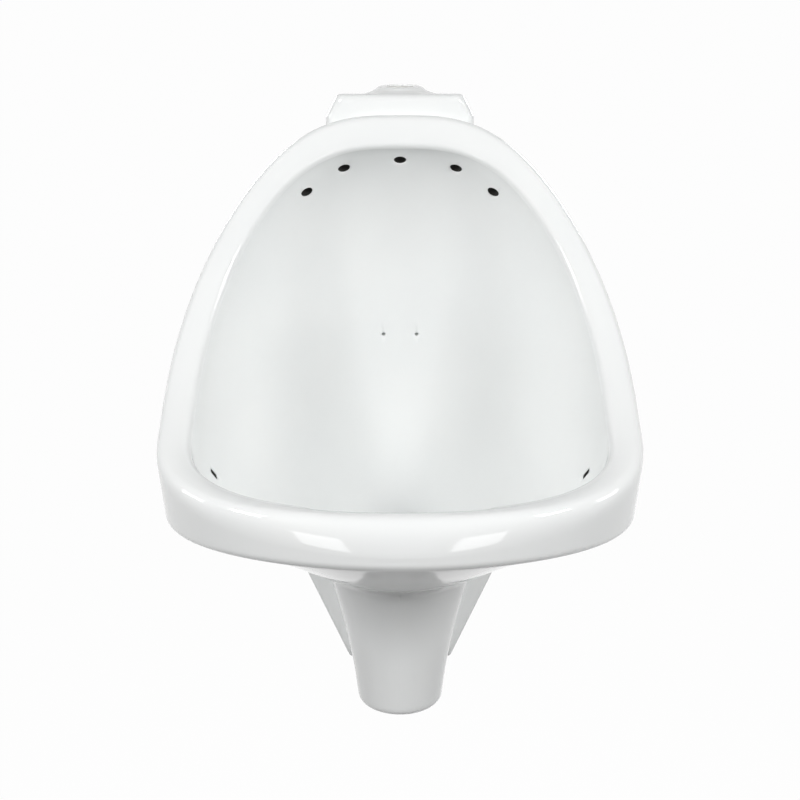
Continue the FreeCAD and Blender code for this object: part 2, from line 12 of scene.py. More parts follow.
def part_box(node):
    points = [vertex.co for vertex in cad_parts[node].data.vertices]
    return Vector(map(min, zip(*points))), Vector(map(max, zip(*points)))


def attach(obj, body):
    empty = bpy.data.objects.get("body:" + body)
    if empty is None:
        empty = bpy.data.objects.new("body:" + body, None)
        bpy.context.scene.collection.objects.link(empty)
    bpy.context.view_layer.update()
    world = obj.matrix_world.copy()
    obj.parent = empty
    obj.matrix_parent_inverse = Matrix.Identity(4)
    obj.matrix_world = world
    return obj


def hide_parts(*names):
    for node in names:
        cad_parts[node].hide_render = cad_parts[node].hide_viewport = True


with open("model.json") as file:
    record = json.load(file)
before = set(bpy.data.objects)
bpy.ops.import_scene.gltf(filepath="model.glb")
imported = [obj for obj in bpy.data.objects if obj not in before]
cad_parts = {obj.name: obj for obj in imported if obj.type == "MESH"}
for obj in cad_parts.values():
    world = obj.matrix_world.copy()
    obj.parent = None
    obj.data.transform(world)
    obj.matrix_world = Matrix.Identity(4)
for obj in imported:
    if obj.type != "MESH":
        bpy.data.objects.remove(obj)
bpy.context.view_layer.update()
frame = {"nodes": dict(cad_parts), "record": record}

bl_info = {
    "name": "Wall-hung urinal",
    "version": (1, 0, 0),
    "blender": (4, 5, 0),
    "location": "View3D > Sidebar > Urinal",
    "description": "Builds the glazed china bowl, its fittings and a small studio around the frame",
    "category": "Object",
}

MM = 0.001

# How far a cutting tool runs past the face that it cuts, and how far round the sump no seam is evened
OVERRUN = 2 * MM
DRAIN_MARGIN = 10 * MM
# Points closer together than this become one, and a point this close to a plane lies on it
MERGE = 0.002 * MM
ON_PLANE = 0.05 * MM
# Edges sharper than this keep their crease in the shading
CREASE_ANGLE = math.radians(38)
# A hollow edge sharper than this is a seam; each pass moves its points by this share at most,
# and the links that pull on them are kept a little beyond the reach
SEAM_ANGLE = math.radians(20)
SEAM_PASSES = 60
SEAM_SHARE = 0.6
SEAM_MARGIN = 1.2
# Radius of a round end for its half width; just under one, so that a short edge stays between the arcs
NECK_END = 0.9999
SLOT_END = 0.97
# Share of the holes' rounding that the corner slots and the small holes get
SLOT_MOUTH = 0.7
SMALL_MOUTH = 0.4
# How much of the front edge's inset the box's top corners follow, and where the closing rings
# of the box's front and of the boss's top end, as a share of their size
BOX_TOP_INSET = 0.8
BOX_CAP_END = 0.08
BOSS_CAP_END = 0.4
# Stands a turned piece upright, with its seam to the left
UPRIGHT = Vector((0, 0, 1)).to_track_quat("Z", "Y").to_matrix().to_4x4()
# Colour sockets of a Mix node, by their place
MIX_FIRST, MIX_SECOND, MIX_RESULT = 6, 7, 2
# Radians of a wave texture in one unit at a scale of one
WAVE_RADIANS = 20
# What the lamps aim at, the width of the camera's sensor in millimetres, and the floor's thickness
LAMP_AIM = Vector((0.0, -200 * MM, 0.0))
SENSOR_WIDTH = 36
FLOOR_THICKNESS = 10 * MM
# Share of the floor that is plain white to the camera and in mirrors; the rest keeps the shadow
FLOOR_WHITE = 0.98
WHITE = (1.0, 1.0, 1.0, 1.0)


def length(label, about, mm):
    """A length property, given in millimetres and kept in metres."""
    return FloatProperty(
        name=label, description=about, default=mm * MM, min=0.0,
        subtype="DISTANCE", unit="LENGTH", precision=4,
    )


def share(label, about, value):
    """A plain factor."""
    return FloatProperty(name=label, description=about, default=value, precision=3)


def turn(label, about, degrees):
    """An angle, given in degrees and kept in radians."""
    return FloatProperty(
        name=label, description=about, default=math.radians(degrees),
        subtype="ANGLE", unit="ROTATION",
    )


def watts(label, about, value):
    """The power of a lamp."""
    return FloatProperty(
        name=label, description=about, default=value, min=0.0, subtype="POWER", unit="POWER",
    )


def samples(label, about, number):
    """How many points or rings sample a stretch."""
    return IntProperty(name=label, description=about, default=number, min=4)


def colour(label, about, code):
    """A colour, written as an sRGB hex value."""
    return StringProperty(name=label, description=about, default=code)


class RimSizes(bpy.types.PropertyGroup):
    """The rolled rim and the apron. Heights are from the neck's foot, distances from the wall."""
    half_width: length("Half width", "Half of the rim's widest outer line", 194.0)
    centre: length("Widest line", "Distance of the rim's widest line from the wall", 279.0)
    front_reach: length("Front reach", "From the widest line to the lip", 104.5)
    rear_reach: length("Rear reach", "From the widest line to the top", 164.0)
    front_power: share("Front fullness", "Power of the front half's superellipse", 2.3)
    rear_power: share("Rear fullness", "Power of the rear half's superellipse", 3.0)
    top_height: length("Top height", "Height of the rim at the top", 571.5)
    bend_from_wall: length("Bend from wall", "Distance of the side curve's control point", 171.5)
    bend_height: length("Bend height", "Height of the side curve's control point", 341.5)
    lip_height: length("Lip height", "Height of the rim at the lip", 304.5)
    side_width: length("Band at the sides", "Width of the rim's band at the sides", 27.5)
    lip_width: length("Band at the lip", "Width of the rim's band at the lip", 26.0)
    top_width: length("Band at the top", "Width of the rim's band at the top, seen from above", 7.8)
    lip_dip: length("Lip dip", "How far the inner edge drops at the lip", 4.0)
    inner_round: length("Inner round", "Radius of the inner edge", 6.0)
    outer_round: length("Outer round", "Radius of the outer edge", 8.0)
    lip_roll: length("Lip roll", "How far the lip's roll reaches in over the band", 14.0)
    lip_fall: length("Lip fall", "How far the lip's roll reaches down the apron", 27.0)
    crown: length("Crown", "How far the band is domed", 1.2)
    apron_bottom: length("Apron bottom", "Height of the apron's lower edge in front", 267.5)
    apron_top_depth: length("Apron at the top", "Depth of the apron where it fades into the hood", 16.0)
    apron_draft: length("Apron draft", "How far the apron leans in", 0.5)
    apron_round: length("Apron round", "Radius under the apron", 6.0)
    apron_upright: share("Apron upright", "How upright the apron stands in front", 0.95)


class BodySizes(bpy.types.PropertyGroup):
    """The belly, the back and the inside of the bowl."""
    fore_sag: length("Fore sag", "Sag of the belly behind the apron", 33.0)
    rear_sag: length("Rear sag", "Sag of the belly before the wall", 42.0)
    sag_power: share("Sag power", "How the sag gathers under the middle", 3.2)
    back_half_width: length("Back half width", "Half width of the outline on the wall", 184.0)
    back_widest: length("Back widest height", "Height of the back's widest line", 272.0)
    back_top: length("Back top", "Height of the back's top", 547.0)
    back_bottom: length("Back bottom", "Height of the back's lowest point", 112.0)
    back_flange: length("Back flange", "Depth of the straight edge on the wall", 16.0)
    sump_height: length("Sump height", "Height of the flat round the drain", 168.0)
    sump_radius: length("Sump radius", "Radius of the flat round the drain", 38.0)
    drain_from_wall: length("Drain from wall", "Distance of the drain from the wall", 96.0)
    top_pull: length("Hood depth", "How far the hood runs back before it turns down", 100.0)
    lip_pull: length("Lip depth", "How far the bowl runs down behind the lip", 66.0)
    hood_drop: length("Hood drop", "How far the hood leans down", 40.0)
    rear_rise: length("Rear rise", "Rise of the bowl's floor behind the drain", 62.0)
    front_rise: length("Front rise", "Rise of the bowl's floor before the drain", 28.0)
    draw_in: share("Draw in", "Share of the width kept below the rim", 0.95)
    floor_share: share("Floor share", "Where the floor's control point lies", 0.45)


class NeckSizes(bpy.types.PropertyGroup):
    """The outlet neck, the back plate beside it, the flush box and the inlet boss."""
    neck_foot: length("Neck foot", "Half width of the neck at its foot", 40.5)
    neck_waist: length("Neck waist", "Half width of the neck at its waist", 48.0)
    neck_shoulder: length("Neck shoulder", "Half width of the neck at its shoulder", 60.0)
    neck_root: length("Neck root", "Half width of the neck where it meets the belly", 74.0)
    neck_waist_height: length("Waist height", "Height of the waist", 55.0)
    neck_shoulder_height: length("Shoulder height", "Height of the shoulder", 111.0)
    neck_root_height: length("Root height", "Height of the root", 158.0)
    neck_round: length("Neck round", "Radius of the neck's foot edge", 7.0)
    neck_wall: length("Neck wall", "Thickness of the neck's wall at its foot", 8.5)
    seat_height: length("Seat height", "Height of the seat under the drain", 148.0)
    seat_radius: length("Seat radius", "Radius of the hollow at the seat", 46.0)
    plate_thickness: length("Plate thickness", "Thickness of the back plate", 16.0)
    plate_foot: length("Plate foot", "Half width of the back plate at its foot", 52.0)
    plate_wing: length("Plate wing", "Half width of the back plate at its wings", 150.0)
    plate_wing_height: length("Wing height", "Height where the wings are widest", 222.0)
    plate_top: length("Plate top", "Height where the plate ends inside the belly", 330.0)
    plate_round: length("Plate round", "Radius of the plate's front edges", 4.0)
    box_top: length("Box top", "Height of the flush box", 577.0)
    box_top_half: length("Box top half width", "Half width of the flush box at its top", 56.0)
    box_foot_half: length("Box foot half width", "Half width of the flush box at its foot", 66.0)
    box_slope: length("Box slope", "Height where the box's sides start to lean in", 557.0)
    box_foot: length("Box foot", "Height of the box's foot inside the casting", 515.0)
    box_depth: length("Box depth", "Depth of the flush box from the wall", 70.0)
    box_round: length("Box round", "Radius of the flush box's edges", 7.0)
    box_front_lift: length("Box front lift", "How far the flush box rises to its front", 6.5)
    boss_from_wall: length("Boss from wall", "Distance of the inlet boss from the wall", 36.0)
    boss_radius: length("Boss radius", "Radius of the inlet boss", 24.5)
    boss_top: length("Boss top", "Height of the inlet boss", 587.0)
    boss_round: length("Boss round", "Radius of the inlet boss's top edge", 8.0)


class CutSizes(bpy.types.PropertyGroup):
    """The hollows and holes of the casting."""
    casting_wall: length("Casting wall", "Wall left round the back pocket", 12.0)
    pocket_reach: length("Pocket reach", "Depth of the back pocket", 150.0)
    pocket_top: length("Pocket top", "Height of the back pocket's ceiling", 470.0)
    pocket_bottom: length("Pocket bottom", "Height of the back pocket's floor", 190.0)
    ledge_half: length("Ledge half width", "Half width of the ledge that hooks on the hangers", 118.0)
    ledge_bottom: length("Ledge bottom", "Height of the ledge's underside", 394.0)
    ledge_height: length("Ledge height", "Height of the ledge", 42.0)
    ledge_gap: length("Ledge gap", "Gap from the ledge to the wall", 4.0)
    slot_near: length("Hanger slot near", "Near side of the hanger slots, from the wall", 17.0)
    slot_far: length("Hanger slot far", "Far side of the hanger slots, from the wall", 22.0)
    slot_top: length("Hanger slot top", "Height of the hanger slots' ceiling", 407.0)
    hanger_spacing: length("Hanger spacing", "Distance between the hangers", 160.0)
    slot_half: length("Hanger slot half width", "Half width of a hanger slot", 21.0)
    neck_pocket_half: length("Neck pocket half width", "Half width of the pocket behind the neck", 24.0)
    neck_pocket_depth: length("Neck pocket depth", "Depth of the pocket behind the neck", 46.0)
    neck_pocket_bottom: length("Neck pocket bottom", "Height of that pocket's floor", 20.0)
    neck_pocket_top: length("Neck pocket top", "Height of that pocket's ceiling", 118.0)
    chamber_centre: length("Chamber centre", "Height of the flush chamber's axis", 392.0)
    chamber_outer: length("Chamber outer radius", "Outer radius of the flush chamber's arch", 150.0)
    chamber_inner: length("Chamber inner radius", "Inner radius of the flush chamber's arch", 122.0)
    chamber_half_angle: turn("Chamber half angle", "Half of the arch's angle", 41.0)
    chamber_front: length("Chamber front", "Front of the chamber, from the wall", 92.0)
    chamber_floor: length("Chamber floor", "Front of the chamber's floor, from the wall", 64.0)
    chamber_back: length("Chamber back", "Back of the chamber, from the wall", 44.0)
    hole_radius: length("Flush hole radius", "Radius of the flush holes", 5.3)
    hole_inner_angle: turn("Inner hole angle", "Place of the inner pair on the arch", 20.5)
    hole_outer_angle: turn("Outer hole angle", "Place of the outer pair on the arch", 36.5)
    hole_arc: length("Hole arc", "Radius of the arch that the holes lie on", 138.0)
    hole_from_wall: length("Holes from wall", "Distance of the holes' mouths from the wall", 103.0)
    hole_slope: turn("Hole slope", "Slope of the holes up into the chamber", 47.0)
    hole_length: length("Hole length", "Length of the drill that makes a hole", 46.0)
    mouth_round: length("Mouth round", "Radius that the glaze leaves at a hole's mouth", 1.0)
    corner_slot_length: length("Corner slot length", "Length of the slots in the lower corners", 13.0)
    corner_slot_width: length("Corner slot width", "Width of the slots in the lower corners", 4.2)
    corner_slot_depth: length("Corner slot depth", "Depth of the slots in the lower corners", 6.0)
    corner_slot_angle: turn("Corner slot angle", "Ring angle of the corner slots", 2.2)
    corner_slot_share: share("Corner slot share", "Place of the corner slots on the bowl's path", 0.207)
    dot_radius: length("Small hole radius", "Radius of the pair of small holes", 1.7)
    dot_pitch: length("Small hole pitch", "Distance between the pair of small holes", 31.2)
    dot_height: length("Small hole height", "Height of the pair of small holes", 357.0)
    dot_depth: length("Small hole depth", "Depth of the pair of small holes", 6.0)
    drain_radius: length("Drain radius", "Radius of the drain through the casting", 22.15)
    seal_seat_radius: length("Seal seat radius", "Radius of the inlet seal's seat", 13.15)
    seal_seat_height: length("Seal seat height", "Height of the inlet seal's seat", 572.0)
    inlet_radius: length("Inlet radius", "Radius of the inlet pipe", 10.0)


class Fineness(bpy.types.PropertyGroup):
    """How finely the casting is sampled and how softly its pieces run together."""
    around: samples("Around", "Points round the casting", 360)
    bowl: samples("Bowl", "Rings down the bowl", 36)
    inner_edge: samples("Inner edge", "Rings over the rim's inner edge", 8)
    band: samples("Band", "Rings across the rim's band", 10)
    lip: samples("Lip", "Rings over the rim's outer edge", 13)
    apron: samples("Apron", "Rings down the apron", 8)
    hem: samples("Hem", "Rings round the apron's lower edge", 9)
    belly: samples("Belly", "Rings under the belly", 40)
    neck_fillet: length("Neck fillet", "Reach of the soft joint of neck, plate and belly", 12.0)
    box_fillet: length("Box fillet", "Reach of the soft joint round the flush box and the boss", 6.0)


class Finishes(bpy.types.PropertyGroup):
    """The colours of the finishes."""
    glaze: colour("Glaze", "White glaze", "F4F5F4")
    glaze_thin: colour("Thin glaze", "White glaze where it lies thinner", "EEF0F0")
    rubber: colour("Rubber", "Black rubber", "1B1B1C")
    rubber_bloom: colour("Rubber bloom", "Grey bloom on the rubber", "2C2C2D")
    pale_rubber: colour("Pale rubber", "Pale rubber of the inlet seal", "E4E4E1")
    pale_rubber_cloud: colour("Pale rubber cloud", "Cloudy patches of the pale rubber", "D8D8D4")
    chrome: colour("Chrome", "Chromium plate", "D9DBDD")
    chrome_haze: colour("Chrome haze", "Polishing haze on the chromium plate", "CDD0D3")
    brass: colour("Brass", "Turned brass", "C9A45C")
    brass_dark: colour("Dull brass", "Brass that has dulled", "A98443")
    steel: colour("Steel", "Stainless steel strip", "C3C4C4")
    steel_cloud: colour("Steel cloud", "Duller patches of the steel strip", "B4B6B7")
    slip: colour("Slip ring", "Pale nylon", "DCDCD4")
    slip_cloud: colour("Slip ring cloud", "Cloudy patches of the nylon", "CFCFC6")
    floor: colour("Floor", "Pale studio floor", "F6F6F6")
    floor_bounce: colour("Floor bounce", "Grey that the floor throws back on the bowl", "9C9C9C")
    # Painted shade: both biscuit colours are dark so that the flush chamber, the bores of the holes and the
    # bottoms of the slots look shadowed; the second colour gives darker random patches
    biscuit_painted_shade: colour("Biscuit", "Unglazed china inside the flush way", "3A3936")
    biscuit_stain_and_shade: colour("Biscuit stain", "Darker stains on the unglazed china", "2A2927")


class Studio(bpy.types.PropertyGroup):
    """The camera, the floor and the lights."""
    camera_back: length("Camera distance", "How far the camera stands before the wall", 1370.0)
    camera_height: length("Camera height", "Height of the camera over the origin", 357.0)
    camera_pitch: turn("Camera pitch", "How far the camera looks down", 18.0)
    lens: FloatProperty(
        name="Lens", description="Focal length on a 36 mm sensor", default=65.25, subtype="DISTANCE_CAMERA",
    )
    floor_drop: length("Floor drop", "How far the floor lies under the neck's foot", 1500.0)
    floor_radius: length("Floor radius", "Radius of the floor", 60000.0)
    ambient: share("Ambient", "Strength of the even light from all round", 0.08)
    key: watts("Key", "Power of each key softbox, in front", 16.6)
    key_side: length("Key side", "How far each key softbox stands to the side", 1100.0)
    key_ahead: length("Key distance", "How far each key softbox stands before the wall", 1500.0)
    key_height: length("Key height", "Height of each key softbox over the origin", 900.0)
    key_face: length("Key face", "Width and height of a key softbox's face", 400.0)
    wing: watts("Wing", "Power of each softbox at the sides", 9.0)
    wing_side: length("Wing side", "How far each side softbox stands to the side", 1900.0)
    wing_ahead: length("Wing distance", "How far each side softbox stands before the wall", 900.0)
    wing_height: length("Wing height", "Height of each side softbox over the origin", 600.0)
    wing_face: length("Wing face", "Width and height of a side softbox's face", 600.0)
    rear: watts("Rear", "Power of each softbox behind the wall's plane", 15.0)
    rear_side: length("Rear side", "How far each rear softbox stands to the side", 1200.0)
    rear_behind: length("Rear distance", "How far each rear softbox stands behind the wall", 1700.0)
    rear_height: length("Rear height", "Height of each rear softbox over the origin", 700.0)
    rear_face: length("Rear face", "Width and height of a rear softbox's face", 600.0)
    card: watts("Card", "Power of each low card that shows only in the glaze", 1.4)
    card_side: length("Card side", "How far each card stands to the side", 430.0)
    card_ahead: length("Card distance", "How far each card stands before the wall", 1500.0)
    card_drop: length("Card drop", "How far each card lies under the origin", 400.0)
    card_width: length("Card width", "Width of a card", 300.0)
    card_tall: length("Card face height", "Height of a card's face", 420.0)
    fill: watts("Fill", "Power of the low light in front", 2.2)
    fill_ahead: length("Fill distance", "How far the low light stands before the wall", 1700.0)
    fill_drop: length("Fill drop", "How far the low light lies under the origin", 350.0)
    fill_width: length("Fill width", "Width of the low light", 1200.0)
    fill_tall: length("Fill face height", "Height of the low light's face", 300.0)


GROUPS = {
    "urinal_rim": RimSizes,
    "urinal_body": BodySizes,
    "urinal_neck": NeckSizes,
    "urinal_cuts": CutSizes,
    "urinal_fineness": Fineness,
    "urinal_finishes": Finishes,
    "urinal_studio": Studio,
}

# Heights are measured from the neck's foot; the frame's origin lies between the hangers' screw holes
FOOT = -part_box("china_body")[0].z


def unit(vectors):
    """The vectors at a length of one."""
    return vectors / np.linalg.norm(vectors, axis=-1, keepdims=True)


def vec(x, y, z):
    """Points from their three coordinates, each a number or an array."""
    return np.stack(np.broadcast_arrays(x, y, z), axis=-1).astype(float)


def steps_after(start, end, number):
    """Evenly spaced values from start to end, without the first."""
    return np.linspace(start, end, number)[1:]


def raised(outline, z):
    """A flat outline at a height."""
    return np.column_stack([outline, np.full(len(outline), z)])


def bezier(points, t):
    """Point on a Bezier curve; each control point may be an array of points."""
    points = list(points)
    while len(points) > 1:
        points = [a + (b - a) * t for a, b in zip(points, points[1:])]
    return points[0]


def superellipse(angle, half, front, rear, rim):
    """Point of an outline of two superellipses that meet at the widest line."""
    c, s = np.cos(angle), np.sin(angle)
    reach = np.where(s > 0, rear, front)
    power = np.where(s > 0, rim.rear_power, rim.front_power)
    radius = (np.abs(c / half) ** power + np.abs(s / reach) ** power) ** (-1 / power)
    return radius * c, radius * s


def rim_height(y, rim):
    """Height of the rim's outer edge at a given distance from the wall, on its side curve."""
    top = rim.rear_reach - rim.centre
    lip = -rim.centre - rim.front_reach
    linear = -rim.bend_from_wall - top
    square = top + 2 * rim.bend_from_wall + lip
    t = (y - top) / (linear - np.sqrt(linear * linear - square * (top - y)))
    return bezier((rim.top_height, rim.bend_height, rim.lip_height), t)


def top_share(y, rim):
    """Zero at the lip and one at the rim's top."""
    return (y + rim.centre + rim.front_reach) / (rim.front_reach + rim.rear_reach)


def outer_edge(angle, rim):
    """The rim's outer edge at a ring angle."""
    x, dy = superellipse(angle, rim.half_width, rim.front_reach, rim.rear_reach, rim)
    y = dy - rim.centre
    return vec(x, y, rim_height(y, rim))


def rim_frame(angle, rim):
    """Outer and inner edge, the direction across the band and the band's outward normal."""
    outer = outer_edge(angle, rim)
    half = rim.half_width - rim.side_width
    x, dy = superellipse(angle, half, rim.front_reach - rim.lip_width, rim.rear_reach - rim.top_width, rim)
    y = dy - rim.centre
    level = rim_height(y, rim)
    inner = vec(x, y, level - rim.lip_dip * (1 - top_share(y, rim)) ** 2)
    step = math.radians(1)
    along = outer_edge(angle - step, rim) - outer_edge(angle + step, rim)
    across = unit(outer - vec(x, y, level))
    return outer, inner, across, unit(np.cross(along, across))


def back_outline(angle, outer, rim, body):
    """The outline on the wall: above its widest line it follows the rim, below it is a superellipse."""
    side = rim_height(-rim.centre, rim)
    rise = (outer[..., 2] - side) / (rim.top_height - side)
    above = vec(
        outer[..., 0] * body.back_half_width / rim.half_width,
        0.0,
        body.back_widest + (body.back_top - body.back_widest) * rise,
    )
    down = body.back_widest - body.back_bottom
    x, dz = superellipse(angle, body.back_half_width, down, down, rim)
    below = vec(x, 0.0, body.back_widest + dz)
    return np.where(np.sin(angle)[..., None] > 0, above, below)


def apron_rise(angle, rim):
    """Direction up the apron: nearly upright in front, square to the rim from the sides to the top."""
    lean = (rim.apron_upright * np.maximum(0.0, -np.sin(angle)) ** 2)[..., None]
    return unit(rim_frame(angle, rim)[3] * (1 - lean) + np.array((0.0, 0.0, 1.0)) * lean)


def apron_depth(angle, rim):
    """In front the apron ends level; behind the widest line its depth fades to the top's."""
    fade = np.maximum(0.0, np.sin(angle)) ** 2
    held = np.where(np.sin(angle) > 0, np.where(np.cos(angle) > 0, 0.0, math.pi), angle)
    depth = (outer_edge(held, rim)[..., 2] - rim.apron_bottom) / apron_rise(held, rim)[..., 2]
    return depth + (rim.apron_top_depth - depth) * fade


def bowl_curve(angle, rim, body):
    """Control points of the bowl's inside, from the rim to the sump."""
    outer, inner, _, normal = rim_frame(angle, rim)
    high = top_share(outer[..., 1], rim)[..., None]
    sump_y = body.sump_radius * np.sin(angle) - body.drain_from_wall
    sump = vec(body.sump_radius * np.cos(angle), sump_y, body.sump_height)
    start = inner - normal * rim.inner_round
    pull = start - normal * (body.lip_pull + (body.top_pull - body.lip_pull) * high)
    pull[..., 0] *= body.draw_in
    pull[..., 2] -= body.hood_drop * high[..., 0] ** 2
    floor = sump + (pull - sump) * body.floor_share
    climb = (body.rear_rise - body.front_rise) * high[..., 0] ** 3
    floor[..., 2] = body.sump_height + body.front_rise + climb
    return start, pull, floor, sump


def casting_rings(angle, rim, body, fineness):
    """Rings of the casting's skin, from the sump over the rim and the apron to the wall,
    with the places of the bowl's last ring and the belly's first ring."""
    outer, inner, across, normal = rim_frame(angle, rim)
    curve = bowl_curve(angle, rim, body)
    rings = [bezier(curve, t) for t in np.linspace(1, 0, fineness.bowl)]
    bowl_end = len(rings)

    hub = inner + (across - normal) * rim.inner_round
    for a in steps_after(0, math.pi / 2, fineness.inner_edge):
        lift = normal * (rim.crown / 2 * math.sin(a) ** 2)
        rings.append(hub + (normal * math.sin(a) - across * math.cos(a)) * rim.inner_round + lift)

    front = np.maximum(0.0, -np.sin(angle))[..., None]
    near = inner + across * rim.inner_round
    far = outer - across * (rim.outer_round + (rim.lip_roll - rim.outer_round) * front)
    for t in steps_after(0, 1, fineness.band)[:-1]:
        rings.append(near + (far - near) * t + normal * (rim.crown * (0.5 + 2 * t * (1 - t))))

    rise = apron_rise(angle, rim)
    side = outer - rise * (rim.outer_round + (rim.lip_fall - rim.outer_round) * front)
    crowned = far + normal * (rim.crown / 2)
    rings += [bezier((crowned, outer, side), t) for t in np.linspace(0, 1, fineness.lip)]

    depth = apron_depth(angle, rim)[..., None]
    hem = outer - rise * depth - across * rim.apron_draft
    roll = np.minimum(rim.apron_round, depth / 3)
    wall = back_outline(angle, outer, rim, body)
    foot = wall - np.array((0.0, body.back_flange, 0.0))
    down = vec(0.0, 0.0, np.maximum(0.0, -np.sin(angle)) ** body.sag_power)
    fore = hem + (foot - hem) / 3 - down * body.fore_sag
    rear = hem + (foot - hem) * 2 / 3 - down * body.rear_sag
    above, below = hem + rise * roll, hem + unit(fore - hem) * roll
    rings += [bezier((side, above), t) for t in steps_after(0, 1, fineness.apron)]
    rings += [bezier((above, hem, below), t) for t in steps_after(0, 1, fineness.hem)]
    belly_start = len(rings) - 1
    rings += [bezier((below, fore, rear, foot), t) for t in steps_after(0, 1, fineness.belly)]
    return np.array([*rings, wall]), bowl_end, belly_start


def moved_in(rings, distance):
    """The rings moved into the wall of the casting, square to its surface."""
    along = np.roll(rings, -1, axis=1) - np.roll(rings, 1, axis=1)
    over = np.concatenate([rings[1:], rings[-1:]]) - np.concatenate([rings[:1], rings[:-1]])
    return rings - unit(np.cross(along, over)) * distance


def rounded_outline(corners, radii, edge_points, arc_points):
    """Points round a polygon with rounded corners, as many for every size; no radius keeps a corner."""
    corners = np.array(corners, float)
    before, after = np.roll(corners, 1, axis=0), np.roll(corners, -1, axis=0)
    t = np.linspace(0, 1, arc_points)[:, None]
    arcs = []
    for here, back, ahead, radius in zip(corners, before, after, radii):
        if radius <= 0:
            arcs.append(here[None, :])
            continue
        u, v = unit(back - here), unit(ahead - here)
        half = math.acos(float(np.clip(np.dot(u, v), -1, 1))) / 2
        centre = here + unit(u + v) * (radius / math.sin(half))
        first = u * (radius / math.tan(half)) + here - centre
        last = v * (radius / math.tan(half)) + here - centre
        sweep = math.pi - 2 * half
        arcs.append(centre + (np.sin((1 - t) * sweep) * first + np.sin(t * sweep) * last) / math.sin(sweep))
    t = np.linspace(0, 1, edge_points + 2)[1:-1, None]
    points = []
    for arc, following in zip(arcs, arcs[1:] + arcs[:1]):
        points += [arc, arc[-1] + (following[0] - arc[-1]) * t]
    return np.concatenate(points)


def ring_object(name, rings):
    """A closed mesh through rings of points, with a fan at each end."""
    rings = np.asarray(rings, float)
    count, around = rings.shape[:2]
    points = np.concatenate([rings.reshape(-1, 3), rings[0].mean(0)[None], rings[-1].mean(0)[None]])
    here = np.arange(around)
    after = (here + 1) % around
    faces = []
    for k in range(count - 1):
        a, b = k * around, (k + 1) * around
        faces += np.stack([a + here, a + after, b + after, b + here], axis=1).tolist()
    first, last, top = count * around, count * around + 1, (count - 1) * around
    faces += np.stack([np.full(around, first), after, here], axis=1).tolist()
    faces += np.stack([np.full(around, last), top + here, top + after], axis=1).tolist()
    mesh = bpy.data.meshes.new(name)
    mesh.from_pydata(points.tolist(), [], faces)
    work = bmesh.new()
    work.from_mesh(mesh)
    bmesh.ops.recalc_face_normals(work, faces=work.faces)
    if work.calc_volume(signed=True) < 0:
        bmesh.ops.reverse_faces(work, faces=work.faces)
    work.to_mesh(mesh)
    work.free()
    piece = bpy.data.objects.new(name, mesh)
    bpy.context.scene.collection.objects.link(piece)
    return piece


def block(name, low, high):
    """A plain block between two corners."""
    (x0, y0, z0), (x1, y1, z1) = low, high
    ring = np.array([(x0, y0), (x1, y0), (x1, y1), (x0, y1)])
    return ring_object(name, [raised(ring, z) for z in (z0, z1)])


def lathe(name, profile, around, place=(0, 0, 0)):
    """A closed turned shape with an upright axis, from the radii and heights of its profile."""
    angle = np.linspace(0, 2 * math.pi, around, endpoint=False)
    circle = np.column_stack([np.cos(angle), np.sin(angle), np.zeros(around)])
    piece = ring_object(name, [circle * r + np.array((0, 0, h)) for r, h in profile])
    piece.data.transform(Matrix.Translation(place) @ UPRIGHT)
    return piece


def discard(piece):
    """Removes a piece and its mesh."""
    mesh = piece.data
    bpy.data.objects.remove(piece)
    bpy.data.meshes.remove(mesh)


def evaluated_mesh(piece):
    """A plain mesh of a piece with its modifiers applied."""
    bpy.context.view_layer.update()
    graph = bpy.context.evaluated_depsgraph_get()
    return bpy.data.meshes.new_from_object(piece.evaluated_get(graph), depsgraph=graph)


def combine(piece, other, operation):
    """Boolean of two closed pieces; the second piece is used up."""
    modifier = piece.modifiers.new("combine", "BOOLEAN")
    modifier.operation = operation
    modifier.solver = "MANIFOLD"
    modifier.material_mode = "TRANSFER"
    modifier.object = other
    result = evaluated_mesh(piece)
    piece.modifiers.clear()
    old = piece.data
    piece.data = result
    bpy.data.meshes.remove(old)
    discard(other)
    return piece


def soften_seams(piece, reach, wanted):
    """Runs the pieces of a casting together softly: where two of them meet in a hollow corner
    the mesh is evened out, more so nearer the corner."""
    work = bmesh.new()
    work.from_mesh(piece.data)
    seam = []
    for edge in work.edges:
        if len(edge.link_faces) == 2 and edge.calc_face_angle_signed() < -SEAM_ANGLE:
            a, b = edge.verts[0].co, edge.verts[1].co
            if wanted((a + b) / 2):
                steps = max(1, math.ceil((b - a).length / (reach / 4)))
                seam += [a.lerp(b, k / steps) for k in range(steps + 1)]
    tree = KDTree(len(seam))
    for k, point in enumerate(seam):
        tree.insert(point, k)
    tree.balance()
    work.verts.ensure_lookup_table()
    work.verts.index_update()
    points = np.array([v.co for v in work.verts])
    far = np.array([tree.find(v.co)[2] for v in work.verts])
    weight = np.clip(1 - far / reach, 0, 1)[:, None]
    weight = weight * weight * (3 - 2 * weight) * SEAM_SHARE
    ends = np.array([(e.verts[0].index, e.verts[1].index) for e in work.edges])
    ends = ends[(far[ends] < reach * SEAM_MARGIN).any(axis=1)]
    links = np.bincount(ends.ravel(), minlength=len(points))[:, None].clip(1)
    # The flat back and the neck's foot stay flat
    weight[(np.abs(points[:, 1:]) < ON_PLANE).any(axis=1)] = 0
    for _ in range(SEAM_PASSES):
        total = np.zeros_like(points)
        np.add.at(total, ends[:, 0], points[ends[:, 1]])
        np.add.at(total, ends[:, 1], points[ends[:, 0]])
        points += (total / links - points) * weight
    for vertex, point in zip(work.verts, points):
        vertex.co = point
    work.to_mesh(piece.data)
    work.free()


